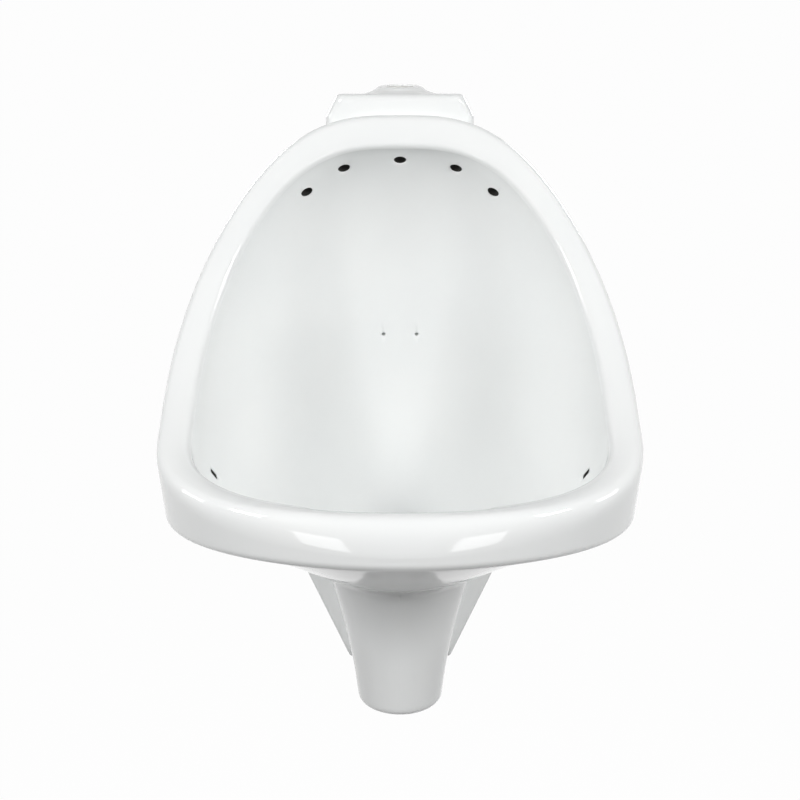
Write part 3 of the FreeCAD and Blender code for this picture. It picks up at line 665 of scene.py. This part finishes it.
def finish_mesh(piece):
    """Merges doubles, points the faces outwards and shades smoothly up to an angle."""
    work = bmesh.new()
    work.from_mesh(piece.data)
    bmesh.ops.remove_doubles(work, verts=work.verts, dist=MERGE)
    bmesh.ops.dissolve_degenerate(work, edges=work.edges, dist=MERGE)
    bmesh.ops.recalc_face_normals(work, faces=work.faces)
    work.to_mesh(piece.data)
    work.free()
    piece.data.shade_smooth()
    piece.data.set_sharp_from_angle(angle=CREASE_ANGLE)


def add_node(tree, kind, inputs=None, **settings):
    """Adds one node with its settings; an input is a value or a socket to link from."""
    node = tree.nodes.new(kind)
    for name, value in settings.items():
        setattr(node, name, value)
    for name, value in (inputs or {}).items():
        if isinstance(value, bpy.types.NodeSocket):
            tree.links.new(value, node.inputs[name])
        else:
            node.inputs[name].default_value = value
    return node


def linear(code):
    """An sRGB hex value as linear colour with alpha."""
    values = [int(code[k:k + 2], 16) / 255 for k in (0, 2, 4)]
    return (*[v / 12.92 if v <= 0.04045 else ((v + 0.055) / 1.055) ** 2.4 for v in values], 1.0)


def per_size(mm):
    """Texture scale that repeats once in so many millimetres."""
    return 1 / (mm * MM)


def new_material(name, first, second, patch_mm, detail, sockets):
    """A material in soft patches of two close colours, with plain values for other sockets of its shader.
    Gives the material, its tree, its shader, its object coordinates and the pattern of the patches."""
    material = bpy.data.materials.new(name)
    material.use_nodes = True
    tree = material.node_tree
    tree.nodes.clear()
    place = add_node(tree, "ShaderNodeTexCoord").outputs["Object"]
    noise = add_node(tree, "ShaderNodeTexNoise", {
        "Vector": place, "Scale": per_size(patch_mm), "Detail": detail,
    })
    patches = noise.outputs["Fac"]
    tone = add_node(tree, "ShaderNodeMix", {
        0: patches, MIX_FIRST: linear(first), MIX_SECOND: linear(second),
    }, data_type="RGBA")
    shader = add_node(tree, "ShaderNodeBsdfPrincipled", {"Base Color": tone.outputs[MIX_RESULT], **sockets})
    add_node(tree, "ShaderNodeOutputMaterial", {"Surface": shader.outputs["BSDF"]})
    return material, tree, shader, place, patches


def glazed_china(finishes):
    # Vitreous china under a thick opaque tin-white glaze, fired glossy: deep mirror-like gloss that
    # rolls slightly, because the glaze flowed, and a whiteness that is a touch cooler where it is thin
    material, tree, shader, place, _ = new_material(
        "vitreous_china_white_glaze", finishes.glaze, finishes.glaze_thin,
        patch_mm=85.0, detail=2.0, sockets={"Roughness": 0.05, "IOR": 1.52},
    )
    flow = add_node(tree, "ShaderNodeTexNoise", {"Vector": place, "Scale": per_size(22.0), "Detail": 1.0})
    bump = add_node(tree, "ShaderNodeBump", {
        "Height": flow.outputs["Fac"], "Strength": 0.06, "Distance": 0.4 * MM,
    })
    tree.links.new(bump.outputs["Normal"], shader.inputs["Normal"])
    return material


def painted_shade_china(finishes):
    # Unglazed china inside the flush way, matt; its dark colour is painted shade for the hollows that it
    # lines, with darker random patches
    return new_material(
        "unglazed_china_painted_shade", finishes.biscuit_painted_shade, finishes.biscuit_stain_and_shade,
        patch_mm=4.0, detail=3.0, sockets={"Roughness": 0.9},
    )[0]


def moulded_rubber(finishes):
    # Moulded black rubber: dull, with a faint grey bloom and a fine moulded grain
    material, tree, shader, place, _ = new_material(
        "moulded_black_rubber", finishes.rubber, finishes.rubber_bloom,
        patch_mm=6.0, detail=4.0, sockets={"Roughness": 0.62, "IOR": 1.5},
    )
    grain = add_node(tree, "ShaderNodeTexNoise", {"Vector": place, "Scale": per_size(0.8), "Detail": 2.0})
    bump = add_node(tree, "ShaderNodeBump", {
        "Height": grain.outputs["Fac"], "Strength": 0.25, "Distance": 0.1 * MM,
    })
    tree.links.new(bump.outputs["Normal"], shader.inputs["Normal"])
    return material


def moulded_pale_rubber(finishes):
    # Moulded pale rubber: soft sheen and a faint cloudy tone
    return new_material(
        "moulded_pale_rubber", finishes.pale_rubber, finishes.pale_rubber_cloud,
        patch_mm=5.0, detail=2.0, sockets={"Roughness": 0.5},
    )[0]


def chromed_brass(finishes):
    # Chromium plate on polished brass: a bright cool mirror with faint polishing haze
    material, tree, shader, _, haze = new_material(
        "polished_chromium_plate", finishes.chrome, finishes.chrome_haze,
        patch_mm=9.0, detail=3.0, sockets={"Metallic": 1.0},
    )
    gloss = add_node(tree, "ShaderNodeMapRange", {"Value": haze, "To Min": 0.05, "To Max": 0.13})
    tree.links.new(gloss.outputs["Result"], shader.inputs["Roughness"])
    return material


def turned_brass(finishes):
    # Turned brass left plain: warm metal with level tool rings and dull patches. The rings are drawn
    # nearly 4 mm apart (0.6 mm for each radian), coarser than real ones, so that they show
    material, tree, shader, place, _ = new_material(
        "turned_plain_brass", finishes.brass, finishes.brass_dark,
        patch_mm=7.0, detail=4.0, sockets={"Metallic": 1.0, "Roughness": 0.3},
    )
    rings = add_node(tree, "ShaderNodeTexWave", {
        "Vector": place, "Scale": per_size(0.6) / WAVE_RADIANS, "Distortion": 0.4,
    }, bands_direction="Z")
    bump = add_node(tree, "ShaderNodeBump", {
        "Height": rings.outputs["Fac"], "Strength": 0.2, "Distance": 0.05 * MM,
    })
    tree.links.new(bump.outputs["Normal"], shader.inputs["Normal"])
    return material


def brushed_stainless(finishes):
    # Stainless strip with a brushed finish: grey metal with fine upright scratches
    material, tree, shader, place, _ = new_material(
        "brushed_stainless_strip", finishes.steel, finishes.steel_cloud,
        patch_mm=14.0, detail=2.0, sockets={"Metallic": 1.0},
    )
    stretch = add_node(tree, "ShaderNodeMapping", {"Vector": place, "Scale": (1.0, 1.0, 0.03)})
    scratch = add_node(tree, "ShaderNodeTexNoise", {
        "Vector": stretch.outputs["Vector"], "Scale": per_size(0.9), "Detail": 4.0,
    }).outputs["Fac"]
    gloss = add_node(tree, "ShaderNodeMapRange", {"Value": scratch, "To Min": 0.22, "To Max": 0.42})
    bump = add_node(tree, "ShaderNodeBump", {"Height": scratch, "Strength": 0.15, "Distance": 0.05 * MM})
    tree.links.new(gloss.outputs["Result"], shader.inputs["Roughness"])
    tree.links.new(bump.outputs["Normal"], shader.inputs["Normal"])
    return material


def pale_nylon(finishes):
    # Pale moulded nylon: slightly waxy, with soft cloudy tone
    return new_material(
        "moulded_pale_nylon", finishes.slip, finishes.slip_cloud,
        patch_mm=5.0, detail=2.0, sockets={"Roughness": 0.45},
    )[0]


def dress(piece, material):
    """Puts one material on a piece."""
    piece.data.materials.clear()
    piece.data.materials.append(material)


MADE = {}


def made(maker):
    """The material that a maker gives, made once."""
    if maker not in MADE:
        MADE[maker] = maker(bpy.context.scene.urinal_finishes)
    return MADE[maker]


def neck_half(z, neck):
    """Half width of the neck at a height: a smooth curve through its four named widths."""
    heights = (0.0, neck.neck_waist_height, neck.neck_shoulder_height, neck.neck_root_height)
    halves = (neck.neck_foot, neck.neck_waist, neck.neck_shoulder, neck.neck_root)
    return float(np.polyval(np.polyfit(heights, halves, 3), z))


def round_steps(radius, number=6):
    """Inset and rise of a rounded lower edge, from its foot to its side."""
    quarter = np.linspace(0, math.pi / 2, number)
    return [(radius * (1 - math.sin(a)), radius * (1 - math.cos(a))) for a in quarter]


def make_neck(neck, drain):
    """The outlet neck: straight sides from the wall and a round front, wider towards the belly."""
    def ring(half, z):
        corners = [(half, 0.0), (half, -drain - half), (-half, -drain - half), (-half, 0.0)]
        radii = (0, half * NECK_END, half * NECK_END, 0)
        return raised(rounded_outline(corners, radii, edge_points=24, arc_points=28), z)

    levels = [(neck_half(z, neck) - inset, z) for inset, z in round_steps(neck.neck_round)]
    heights = steps_after(neck.neck_round, neck.neck_root_height, number=40)
    levels += [(neck_half(z, neck), z) for z in heights]
    return ring_object("neck", [ring(half, z) for half, z in levels])


def make_plate(neck):
    """The back plate beside the neck, up to where it ends inside the belly."""
    def ring(inset, z):
        rise = min(1.0, z / neck.plate_wing_height)
        half = neck.plate_foot + (neck.plate_wing - neck.plate_foot) * rise
        front = -neck.plate_thickness + inset
        corners = [(half, 0.0), (half, front), (-half, front), (-half, 0.0)]
        radii = (0, neck.plate_round, neck.plate_round, 0)
        return raised(rounded_outline(corners, radii, edge_points=30, arc_points=6), z)

    levels = round_steps(neck.plate_round)
    levels += [(0.0, z) for z in steps_after(neck.plate_round, neck.plate_top, number=60)]
    return ring_object("plate", [ring(inset, z) for inset, z in levels])


def make_box(neck):
    """The flush box, from the wall to its rounded front, which shrinking rings close."""
    height = neck.box_top - neck.box_slope
    lean = math.hypot(neck.box_foot_half - neck.box_top_half, height) / height
    radii = (0, 0, 0, neck.box_round, neck.box_round, 0)
    middle = np.array((0.0, (neck.box_foot + neck.box_top) / 2))

    def ring(inset, y, scale=1.0):
        foot = neck.box_foot_half - inset
        top = neck.box_top_half - inset * lean * BOX_TOP_INSET
        corners = [
            (-foot, neck.box_foot), (foot, neck.box_foot), (foot, neck.box_slope),
            (top, neck.box_top - inset), (-top, neck.box_top - inset), (-foot, neck.box_slope),
        ]
        outline = rounded_outline(corners, radii, edge_points=16, arc_points=9)
        outline = middle + (outline - middle) * scale
        lift = -y / neck.box_depth * neck.box_front_lift
        return np.column_stack([outline[:, 0], np.full(len(outline), y), outline[:, 1] + lift])

    rings = [ring(0.0, y) for y in np.linspace(0.0, -neck.box_depth + neck.box_round, num=22)]
    for inset, rise in round_steps(neck.box_round)[::-1][1:]:
        rings.append(ring(inset, -neck.box_depth + rise))
    shrinking = steps_after(1, BOX_CAP_END, number=14)
    rings += [ring(neck.box_round, -neck.box_depth, scale) for scale in shrinking]
    return ring_object("flush_box", rings)


def make_boss(neck):
    """The round inlet boss on the flush box."""
    heights = np.linspace(neck.box_foot, neck.boss_top - neck.boss_round, num=24)
    profile = [(neck.boss_radius, z) for z in heights]
    for inset, rise in round_steps(neck.boss_round, number=9)[::-1][1:]:
        profile.append((neck.boss_radius - inset, neck.boss_top - rise))
    profile.append((neck.boss_radius * BOSS_CAP_END, neck.boss_top))
    return lathe("boss", profile, around=96, place=(0, -neck.boss_from_wall, 0))


def make_back_pocket(rings, bowl_end, belly_start, rim, body, cuts):
    """The hollow behind the bowl: it leaves one wall all round and the ledge that hooks on the hangers."""
    inset = moved_in(rings, cuts.casting_wall)
    before = -rim.centre - rim.front_reach - cuts.pocket_reach
    span, beyond = rim.half_width, 2 * OVERRUN

    def ahead(ring):
        moved = ring.copy()
        moved[:, 1] = before
        return moved[None]

    inside = inset[:bowl_end + 1].copy()
    inside[0, :, 2] = body.sump_height - cuts.casting_wall
    shell = inset[belly_start:]
    behind = shell[-1] + np.array((0, beyond, 0))
    pocket = ring_object("pocket", np.concatenate([ahead(shell[0]), shell, behind[None]]))
    limit = block(
        "limit", (-span, -cuts.pocket_reach, cuts.pocket_bottom), (span, beyond, cuts.pocket_top),
    )
    combine(pocket, limit, "INTERSECT")
    bowl = ring_object("bowl", np.concatenate([inside, ahead(inside[-1])]))
    combine(pocket, bowl, "DIFFERENCE")
    ledge = block(
        "ledge",
        (-cuts.ledge_half, -body.drain_from_wall, cuts.ledge_bottom),
        (cuts.ledge_half, -cuts.ledge_gap, cuts.ledge_bottom + cuts.ledge_height),
    )
    for side in (-1, 1):
        x = side * cuts.hanger_spacing / 2
        slot = block(
            "hanger_slot",
            (x - cuts.slot_half, -cuts.slot_far, cuts.ledge_bottom - OVERRUN),
            (x + cuts.slot_half, -cuts.slot_near, cuts.slot_top),
        )
        combine(ledge, slot, "DIFFERENCE")
    return combine(pocket, ledge, "DIFFERENCE")


def make_chamber(cuts, material):
    """The flush chamber: an arch above the bowl that the holes open from."""
    y = -np.array((cuts.chamber_front, cuts.chamber_back, cuts.chamber_back, cuts.chamber_floor))
    radius = np.array((cuts.chamber_outer, cuts.chamber_outer, cuts.chamber_inner, cuts.chamber_inner))
    rings = []
    for a in np.linspace(-cuts.chamber_half_angle, cuts.chamber_half_angle, num=41):
        rings.append(vec(radius * math.sin(a), y, cuts.chamber_centre + radius * math.cos(a)))
    chamber = ring_object("chamber", rings)
    dress(chamber, material)
    return chamber


def straight(radius, low, high):
    """Profile of a straight round tool between two heights."""
    return [(radius, low), (radius, high)]


def flared_mouth(mouth, number, spread, rise):
    """Growth and height over the face of a mouth that the glaze rounds, with a skirt clear of the face."""
    quarter = np.linspace(0, math.pi / 2, number)
    flare = [(mouth * (1 - math.cos(a)), mouth * (math.sin(a) - 1)) for a in quarter]
    return [*flare, (mouth * spread, mouth * rise)]


def mouth_profile(radius, mouth):
    """Profile of the tool that flares the mouth of a round hole."""
    return [(radius + grow, height) for grow, height in flared_mouth(mouth, number=6, spread=3, rise=1)]


def tools_tree():
    """Node tree that sets one tool on every point, aimed along the point's drill direction."""
    tree = bpy.data.node_groups.new("tools_on_points", "GeometryNodeTree")
    tree.interface.new_socket("Points", in_out="INPUT", socket_type="NodeSocketGeometry")
    tree.interface.new_socket("Tool", in_out="INPUT", socket_type="NodeSocketObject")
    tree.interface.new_socket("Finish", in_out="INPUT", socket_type="NodeSocketMaterial")
    tree.interface.new_socket("Geometry", in_out="OUTPUT", socket_type="NodeSocketGeometry")
    given = add_node(tree, "NodeGroupInput")
    aim = add_node(tree, "GeometryNodeInputNamedAttribute", {"Name": "drill"}, data_type="FLOAT_VECTOR")
    rotate = add_node(tree, "FunctionNodeAlignRotationToVector", {
        "Vector": aim.outputs["Attribute"],
    }, axis="Z")
    tool = add_node(tree, "GeometryNodeObjectInfo", {"Object": given.outputs["Tool"]})
    spread = add_node(tree, "GeometryNodeInstanceOnPoints", {
        "Points": given.outputs["Points"], "Instance": tool.outputs["Geometry"],
        "Rotation": rotate.outputs["Rotation"],
    })
    real = add_node(tree, "GeometryNodeRealizeInstances", {"Geometry": spread.outputs["Instances"]})
    dressed = add_node(tree, "GeometryNodeSetMaterial", {
        "Geometry": real.outputs["Geometry"], "Material": given.outputs["Finish"],
    })
    add_node(tree, "NodeGroupOutput", {"Geometry": dressed.outputs["Geometry"]})
    return tree


def repeat_tool(name, tool, places, drills, material):
    """Repeats a tool on points through the node tree and gives the result as one plain mesh."""
    mesh = bpy.data.meshes.new(name)
    mesh.from_pydata([tuple(p) for p in places], [], [])
    attribute = mesh.attributes.new("drill", "FLOAT_VECTOR", "POINT")
    attribute.data.foreach_set("vector", np.array(drills, np.float32).ravel())
    piece = bpy.data.objects.new(name, mesh)
    bpy.context.scene.collection.objects.link(piece)
    tree = bpy.data.node_groups.get("tools_on_points") or tools_tree()
    modifier = piece.modifiers.new("repeat", "NODES")
    modifier.node_group = tree
    sockets = {s.name: s.identifier for s in tree.interface.items_tree if s.in_out == "INPUT"}
    modifier[sockets["Tool"]] = tool
    modifier[sockets["Finish"]] = material
    result = evaluated_mesh(piece)
    piece.modifiers.clear()
    piece.data = result
    bpy.data.meshes.remove(mesh)
    discard(tool)
    return piece


def make_flush_holes(china, cuts, profile, material):
    """Drills for the flush holes, each set on the glazed face."""
    places, drills = [], []
    inner, outer, slope = cuts.hole_inner_angle, cuts.hole_outer_angle, cuts.hole_slope
    for a in (-outer, -inner, 0.0, inner, outer):
        out = Vector((math.sin(a), 0.0, math.cos(a)))
        middle = out * cuts.hole_arc + Vector((0.0, -cuts.hole_from_wall, cuts.chamber_centre))
        drill = -(Vector((0.0, math.cos(slope), 0.0)) + out * math.sin(slope))
        _, place, _, _ = china.ray_cast(middle + drill * cuts.hole_length, -drill)
        places.append(place)
        drills.append(drill)
    tool = lathe("drill", profile, around=40)
    return repeat_tool("flush_holes", tool, places, drills, material)


def on_bowl(angle, t, rim, body):
    """A point of the bowl's inside with the direction down the bowl and the normal into the air."""
    step = 0.01
    here = bezier(bowl_curve(np.array(angle), rim, body), t)
    beside = bezier(bowl_curve(np.array(angle + step), rim, body), t) - here
    down = unit(bezier(bowl_curve(np.array(angle), rim, body), t + step) - here)
    return here, down, unit(np.cross(beside, down))


def make_corner_slot(angle, levels, rim, body, cuts, material):
    """A tool for a slot in a lower corner, through levels of growth and height over the bowl's face."""
    here, down, inward = on_bowl(angle, cuts.corner_slot_share, rim, body)

    def ring(grow, height):
        x, y = cuts.corner_slot_width / 2 + grow, cuts.corner_slot_length / 2 + grow
        corners = [(-x, -y), (x, -y), (x, y), (-x, y)]
        return raised(rounded_outline(corners, [x * SLOT_END] * 4, edge_points=6, arc_points=8), height)

    slot = ring_object("corner_slot", [ring(grow, height) for grow, height in levels])
    dress(slot, material)
    turned = Matrix(np.column_stack([np.cross(down, inward), down, inward]).tolist()).to_4x4()
    slot.data.transform(Matrix.Translation(Vector(here)) @ turned)
    return slot


def rear_wall(height, rim, body):
    """Place and normal of the bowl's rear wall at a height."""
    curve = bowl_curve(np.array(math.pi / 2), rim, body)
    shares = np.linspace(0, 1, num=400)
    heights = np.array([bezier(curve, t)[2] for t in shares])
    t = float(shares[np.argmin(np.abs(heights - height))])
    here, _, inward = on_bowl(math.pi / 2, t, rim, body)
    return here, inward


def make_small_holes(rim, body, cuts, material):
    """Drills for the pair of small holes in the rear wall."""
    here, inward = rear_wall(cuts.dot_height, rim, body)
    places = [here + np.array((side * cuts.dot_pitch / 2, 0, 0)) for side in (-1, 1)]
    flare = mouth_profile(cuts.dot_radius, cuts.mouth_round * SMALL_MOUTH)
    tool = lathe("small_drill", [(cuts.dot_radius, -cuts.dot_depth), *flare], around=24)
    return repeat_tool("small_holes", tool, places, [inward, inward], material)


def make_fused_casting(rings, body, neck, fineness, glaze):
    """The casting before it is hollowed, with its pieces run softly together."""
    china = ring_object("china_casting", rings)
    dress(china, glaze)
    for piece in (make_plate(neck), make_neck(neck, body.drain_from_wall), make_box(neck), make_boss(neck)):
        combine(china, piece, "UNION")

    def by_box(p):
        return p.z > neck.box_foot

    def under_belly(p):
        by_drain = math.hypot(p.x, p.y + body.drain_from_wall) < body.sump_radius + DRAIN_MARGIN
        return p.z < neck.plate_top and not (by_drain and p.z > neck.seat_height)

    soften_seams(china, fineness.box_fillet, by_box)
    soften_seams(china, fineness.neck_fillet, under_belly)
    return china


def make_cutters(china, rings, bowl_end, belly_start, rim, body, neck, cuts):
    """Every tool that hollows the casting, in the order of the cuts."""
    # The dark biscuit finish is painted shade on the chamber's walls, the flush holes' bores and the corner
    # slots' bottoms
    glaze, biscuit_painted_shade = made(glazed_china), made(painted_shade_china)
    drain = (0, -body.drain_from_wall, 0)
    boss = (0, -neck.boss_from_wall, 0)
    hollow_foot = neck.neck_foot - neck.neck_wall
    run = (neck.seat_radius - hollow_foot) / neck.seat_height
    hollow = [(hollow_foot - run * OVERRUN, -OVERRUN), (neck.seat_radius, neck.seat_height)]
    chamber_middle = cuts.chamber_centre + (cuts.chamber_inner + cuts.chamber_outer) / 2
    through_drain = straight(cuts.drain_radius, neck.seat_height - OVERRUN, body.sump_height + OVERRUN)
    inlet = straight(cuts.inlet_radius, chamber_middle, neck.boss_top)
    seal_seat = straight(cuts.seal_seat_radius, cuts.seal_seat_height, neck.boss_top + OVERRUN)
    bore = straight(cuts.hole_radius, -cuts.hole_length / 2, cuts.hole_radius)
    mouth = cuts.mouth_round * SLOT_MOUTH
    slot_tools = (
        # Painted shade in the slot's bottom, glaze on its rounded mouth
        ([(0.0, -cuts.corner_slot_depth), (0.0, mouth)], biscuit_painted_shade),
        (flared_mouth(mouth, number=5, spread=4, rise=1.5), glaze),
    )

    return [
        make_back_pocket(rings, bowl_end, belly_start, rim, body, cuts),
        lathe("hollow", hollow, around=96, place=drain),
        lathe("drain", through_drain, around=64, place=drain),
        block(
            "neck_pocket",
            (-cuts.neck_pocket_half, -cuts.neck_pocket_depth, cuts.neck_pocket_bottom),
            (cuts.neck_pocket_half, OVERRUN, cuts.neck_pocket_top),
        ),
        # Painted shade on the chamber and down the flush holes' bores
        make_chamber(cuts, biscuit_painted_shade),
        make_flush_holes(china, cuts, bore, biscuit_painted_shade),
        make_flush_holes(china, cuts, mouth_profile(cuts.hole_radius, cuts.mouth_round), glaze),
        make_small_holes(rim, body, cuts, glaze),
        *(
            make_corner_slot(angle, levels, rim, body, cuts, material)
            for angle in (cuts.corner_slot_angle, math.pi - cuts.corner_slot_angle)
            for levels, material in slot_tools
        ),
        lathe("inlet", inlet, around=48, place=boss),
        lathe("seal_seat", seal_seat, around=64, place=boss),
    ]


class URINAL_OT_china(bpy.types.Operator):
    """Build the glazed china casting"""
    bl_idname = "urinal.china"
    bl_label = "China casting"

    def execute(self, context):
        scene = context.scene
        rim, body, neck, cuts = scene.urinal_rim, scene.urinal_body, scene.urinal_neck, scene.urinal_cuts
        fineness = scene.urinal_fineness
        angle = math.pi / 2 - 2 * math.pi * np.arange(fineness.around) / fineness.around
        rings, bowl_end, belly_start = casting_rings(angle, rim, body, fineness)
        china = make_fused_casting(rings, body, neck, fineness, made(glazed_china))
        for cutter in make_cutters(china, rings, bowl_end, belly_start, rim, body, neck, cuts):
            combine(china, cutter, "DIFFERENCE")
        finish_mesh(china)
        china.data.transform(Matrix.Translation((0, 0, -FOOT)))
        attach(china, "urinal")
        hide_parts("china_body")
        return {"FINISHED"}


# The finish of each material slot that the frame's own nodes have
MAKERS = {
    "chromed_brass": chromed_brass,
    "plain_brass": turned_brass,
    "stainless_steel": brushed_stainless,
    "black_rubber": moulded_rubber,
    "pale_rubber": moulded_pale_rubber,
    "slip_plastic": pale_nylon,
}


def dress_nodes(*names):
    """Puts on each of the frame's nodes the finish of its material slot."""
    slots = {part["node"]: part["material_slot"] for part in frame["record"]["subparts"]}
    for name in names:
        dress(frame["nodes"][name], made(MAKERS[slots[name]]))
    return {"FINISHED"}


class URINAL_OT_inlet_seal(bpy.types.Operator):
    """Dress the seal in the inlet boss"""
    bl_idname = "urinal.inlet_seal"
    bl_label = "Inlet seal"

    def execute(self, context):
        return dress_nodes("inlet_seal")


class URINAL_OT_waste(bpy.types.Operator):
    """Dress the waste fitting in the drain, with its washers, ring and nut"""
    bl_idname = "urinal.waste"
    bl_label = "Waste fitting"

    def execute(self, context):
        return dress_nodes(
            "waste_body", "waste_top_washer", "waste_bottom_washer", "waste_slip_ring", "waste_backnut",
        )


class URINAL_OT_strainer(bpy.types.Operator):
    """Dress the strainer over the waste and its screw"""
    bl_idname = "urinal.strainer"
    bl_label = "Strainer"

    def execute(self, context):
        return dress_nodes("strainer_dome", "strainer_screw")


class URINAL_OT_hangers(bpy.types.Operator):
    """Dress the wall hangers and their pads"""
    bl_idname = "urinal.hangers"
    bl_label = "Hangers"

    def execute(self, context):
        return dress_nodes("hanger_left", "hanger_right", "hanger_pad_left", "hanger_pad_right")


def softbox(name, place, width, tall, power):
    """One soft rectangular light, aimed at the bowl."""
    data = bpy.data.lights.new(name, "AREA")
    data.shape = "RECTANGLE"
    data.size = width
    data.size_y = tall
    data.energy = power
    lamp = bpy.data.objects.new(name, data)
    lamp.location = place
    lamp.visible_camera = False
    lamp.rotation_euler = (LAMP_AIM - lamp.location).to_track_quat("-Z", "Y").to_euler()
    bpy.context.scene.collection.objects.link(lamp)
    return lamp


def seen_or_mirrored(tree):
    """One where a ray comes from the camera or through a mirror or a clear surface."""
    rays = add_node(tree, "ShaderNodeLightPath").outputs
    first = add_node(tree, "ShaderNodeMath", {
        0: rays["Is Camera Ray"], 1: rays["Is Glossy Ray"],
    }, operation="MAXIMUM")
    both = add_node(tree, "ShaderNodeMath", {
        0: first.outputs[0], 1: rays["Is Transmission Ray"],
    }, operation="MAXIMUM")
    return both.outputs[0]


def floor_paint(finishes):
    # Pale matt studio paint: white to the camera and in mirrors, with the object's shadow kept,
    # and grey in the light that it throws back on the object
    material = bpy.data.materials.new("pale_floor")
    material.use_nodes = True
    tree = material.node_tree
    tree.nodes.clear()
    bounced = add_node(tree, "ShaderNodeLightPath").outputs["Is Diffuse Ray"]
    tone = add_node(tree, "ShaderNodeMix", {
        0: bounced, MIX_FIRST: linear(finishes.floor), MIX_SECOND: linear(finishes.floor_bounce),
    }, data_type="RGBA")
    lit = add_node(tree, "ShaderNodeBsdfDiffuse", {"Color": tone.outputs[MIX_RESULT]})
    bright = add_node(tree, "ShaderNodeEmission", {"Color": WHITE, "Strength": 1.0})
    part = add_node(tree, "ShaderNodeMath", {0: seen_or_mirrored(tree), 1: FLOOR_WHITE}, operation="MULTIPLY")
    mix = add_node(tree, "ShaderNodeMixShader", {0: part.outputs[0], 1: lit.outputs[0], 2: bright.outputs[0]})
    add_node(tree, "ShaderNodeOutputMaterial", {"Surface": mix.outputs[0]})
    return material


def make_camera(studio):
    """The camera at the photograph's viewing angle."""
    data = bpy.data.cameras.new("camera")
    data.lens = studio.lens
    data.sensor_width = SENSOR_WIDTH
    camera = bpy.data.objects.new("camera", data)
    camera.location = (0, -studio.camera_back, studio.camera_height)
    camera.rotation_euler = (math.pi / 2 - studio.camera_pitch, 0, 0)
    bpy.context.scene.collection.objects.link(camera)
    return camera


def make_world(studio):
    """A faint even light from all round that shows as white to the camera and in mirrors."""
    world = bpy.data.worlds.new("studio")
    world.use_nodes = True
    tree = world.node_tree
    tree.nodes.clear()
    strength = add_node(tree, "ShaderNodeMapRange", {
        "Value": seen_or_mirrored(tree), "To Min": studio.ambient, "To Max": 1.0,
    })
    glow = add_node(tree, "ShaderNodeBackground", {"Color": WHITE, "Strength": strength.outputs["Result"]})
    add_node(tree, "ShaderNodeOutputWorld", {"Surface": glow.outputs[0]})
    return world


def make_lamps(studio):
    """Pairs of softboxes in front, at the sides and behind, cards that show only in the glaze,
    and a low light in front that doesn't show in it."""
    for side, end in ((-1, "left"), (1, "right")):
        place = (side * studio.key_side, -studio.key_ahead, studio.key_height)
        softbox("key_" + end, place, studio.key_face, studio.key_face, studio.key)
        place = (side * studio.wing_side, -studio.wing_ahead, studio.wing_height)
        softbox("wing_" + end, place, studio.wing_face, studio.wing_face, studio.wing)
        place = (side * studio.rear_side, studio.rear_behind, studio.rear_height)
        softbox("rear_" + end, place, studio.rear_face, studio.rear_face, studio.rear)
        place = (side * studio.card_side, -studio.card_ahead, -studio.card_drop)
        card = softbox("card_" + end, place, studio.card_width, studio.card_tall, studio.card)
        card.visible_diffuse = False
    place = (0, -studio.fill_ahead, -studio.fill_drop)
    fill = softbox("low_fill", place, studio.fill_width, studio.fill_tall, studio.fill)
    fill.visible_glossy = False


class URINAL_OT_stage(bpy.types.Operator):
    """Set the floor, the lights and the camera"""
    bl_idname = "urinal.stage"
    bl_label = "Studio"

    def execute(self, context):
        scene = context.scene
        studio = scene.urinal_studio
        scene.view_settings.view_transform = "Standard"
        scene.camera = make_camera(studio)
        profile = [(studio.floor_radius, -FLOOR_THICKNESS), (studio.floor_radius, 0.0)]
        floor = lathe("floor", profile, around=96, place=(0, 0, -FOOT - studio.floor_drop))
        dress(floor, made(floor_paint))
        scene.world = make_world(studio)
        make_lamps(studio)
        return {"FINISHED"}


class URINAL_PT_panel(bpy.types.Panel):
    """Lists the sizes, the finishes and the steps"""
    bl_label = "Urinal"
    bl_idname = "URINAL_PT_panel"
    bl_space_type = "VIEW_3D"
    bl_region_type = "UI"
    bl_category = "Urinal"

    def draw(self, context):
        for name, group in GROUPS.items():
            column = self.layout.column(align=True)
            column.label(text=group.__name__)
            for key in group.__annotations__:
                column.prop(getattr(context.scene, name), key)
        for step in STEPS:
            self.layout.operator(step.bl_idname)


STEPS = (
    URINAL_OT_china, URINAL_OT_inlet_seal, URINAL_OT_waste, URINAL_OT_strainer, URINAL_OT_hangers,
    URINAL_OT_stage,
)
CLASSES = (*GROUPS.values(), *STEPS, URINAL_PT_panel)


def register():
    for item in CLASSES:
        bpy.utils.register_class(item)
    for name, group in GROUPS.items():
        setattr(bpy.types.Scene, name, PointerProperty(type=group))


def unregister():
    for name in GROUPS:
        delattr(bpy.types.Scene, name)
    for item in reversed(CLASSES):
        bpy.utils.unregister_class(item)


def main():
    register()
    bpy.ops.urinal.china()
    bpy.ops.urinal.inlet_seal()
    bpy.ops.urinal.waste()
    bpy.ops.urinal.strainer()
    bpy.ops.urinal.hangers()
    bpy.ops.urinal.stage()


if __name__ == "__main__":
    main()
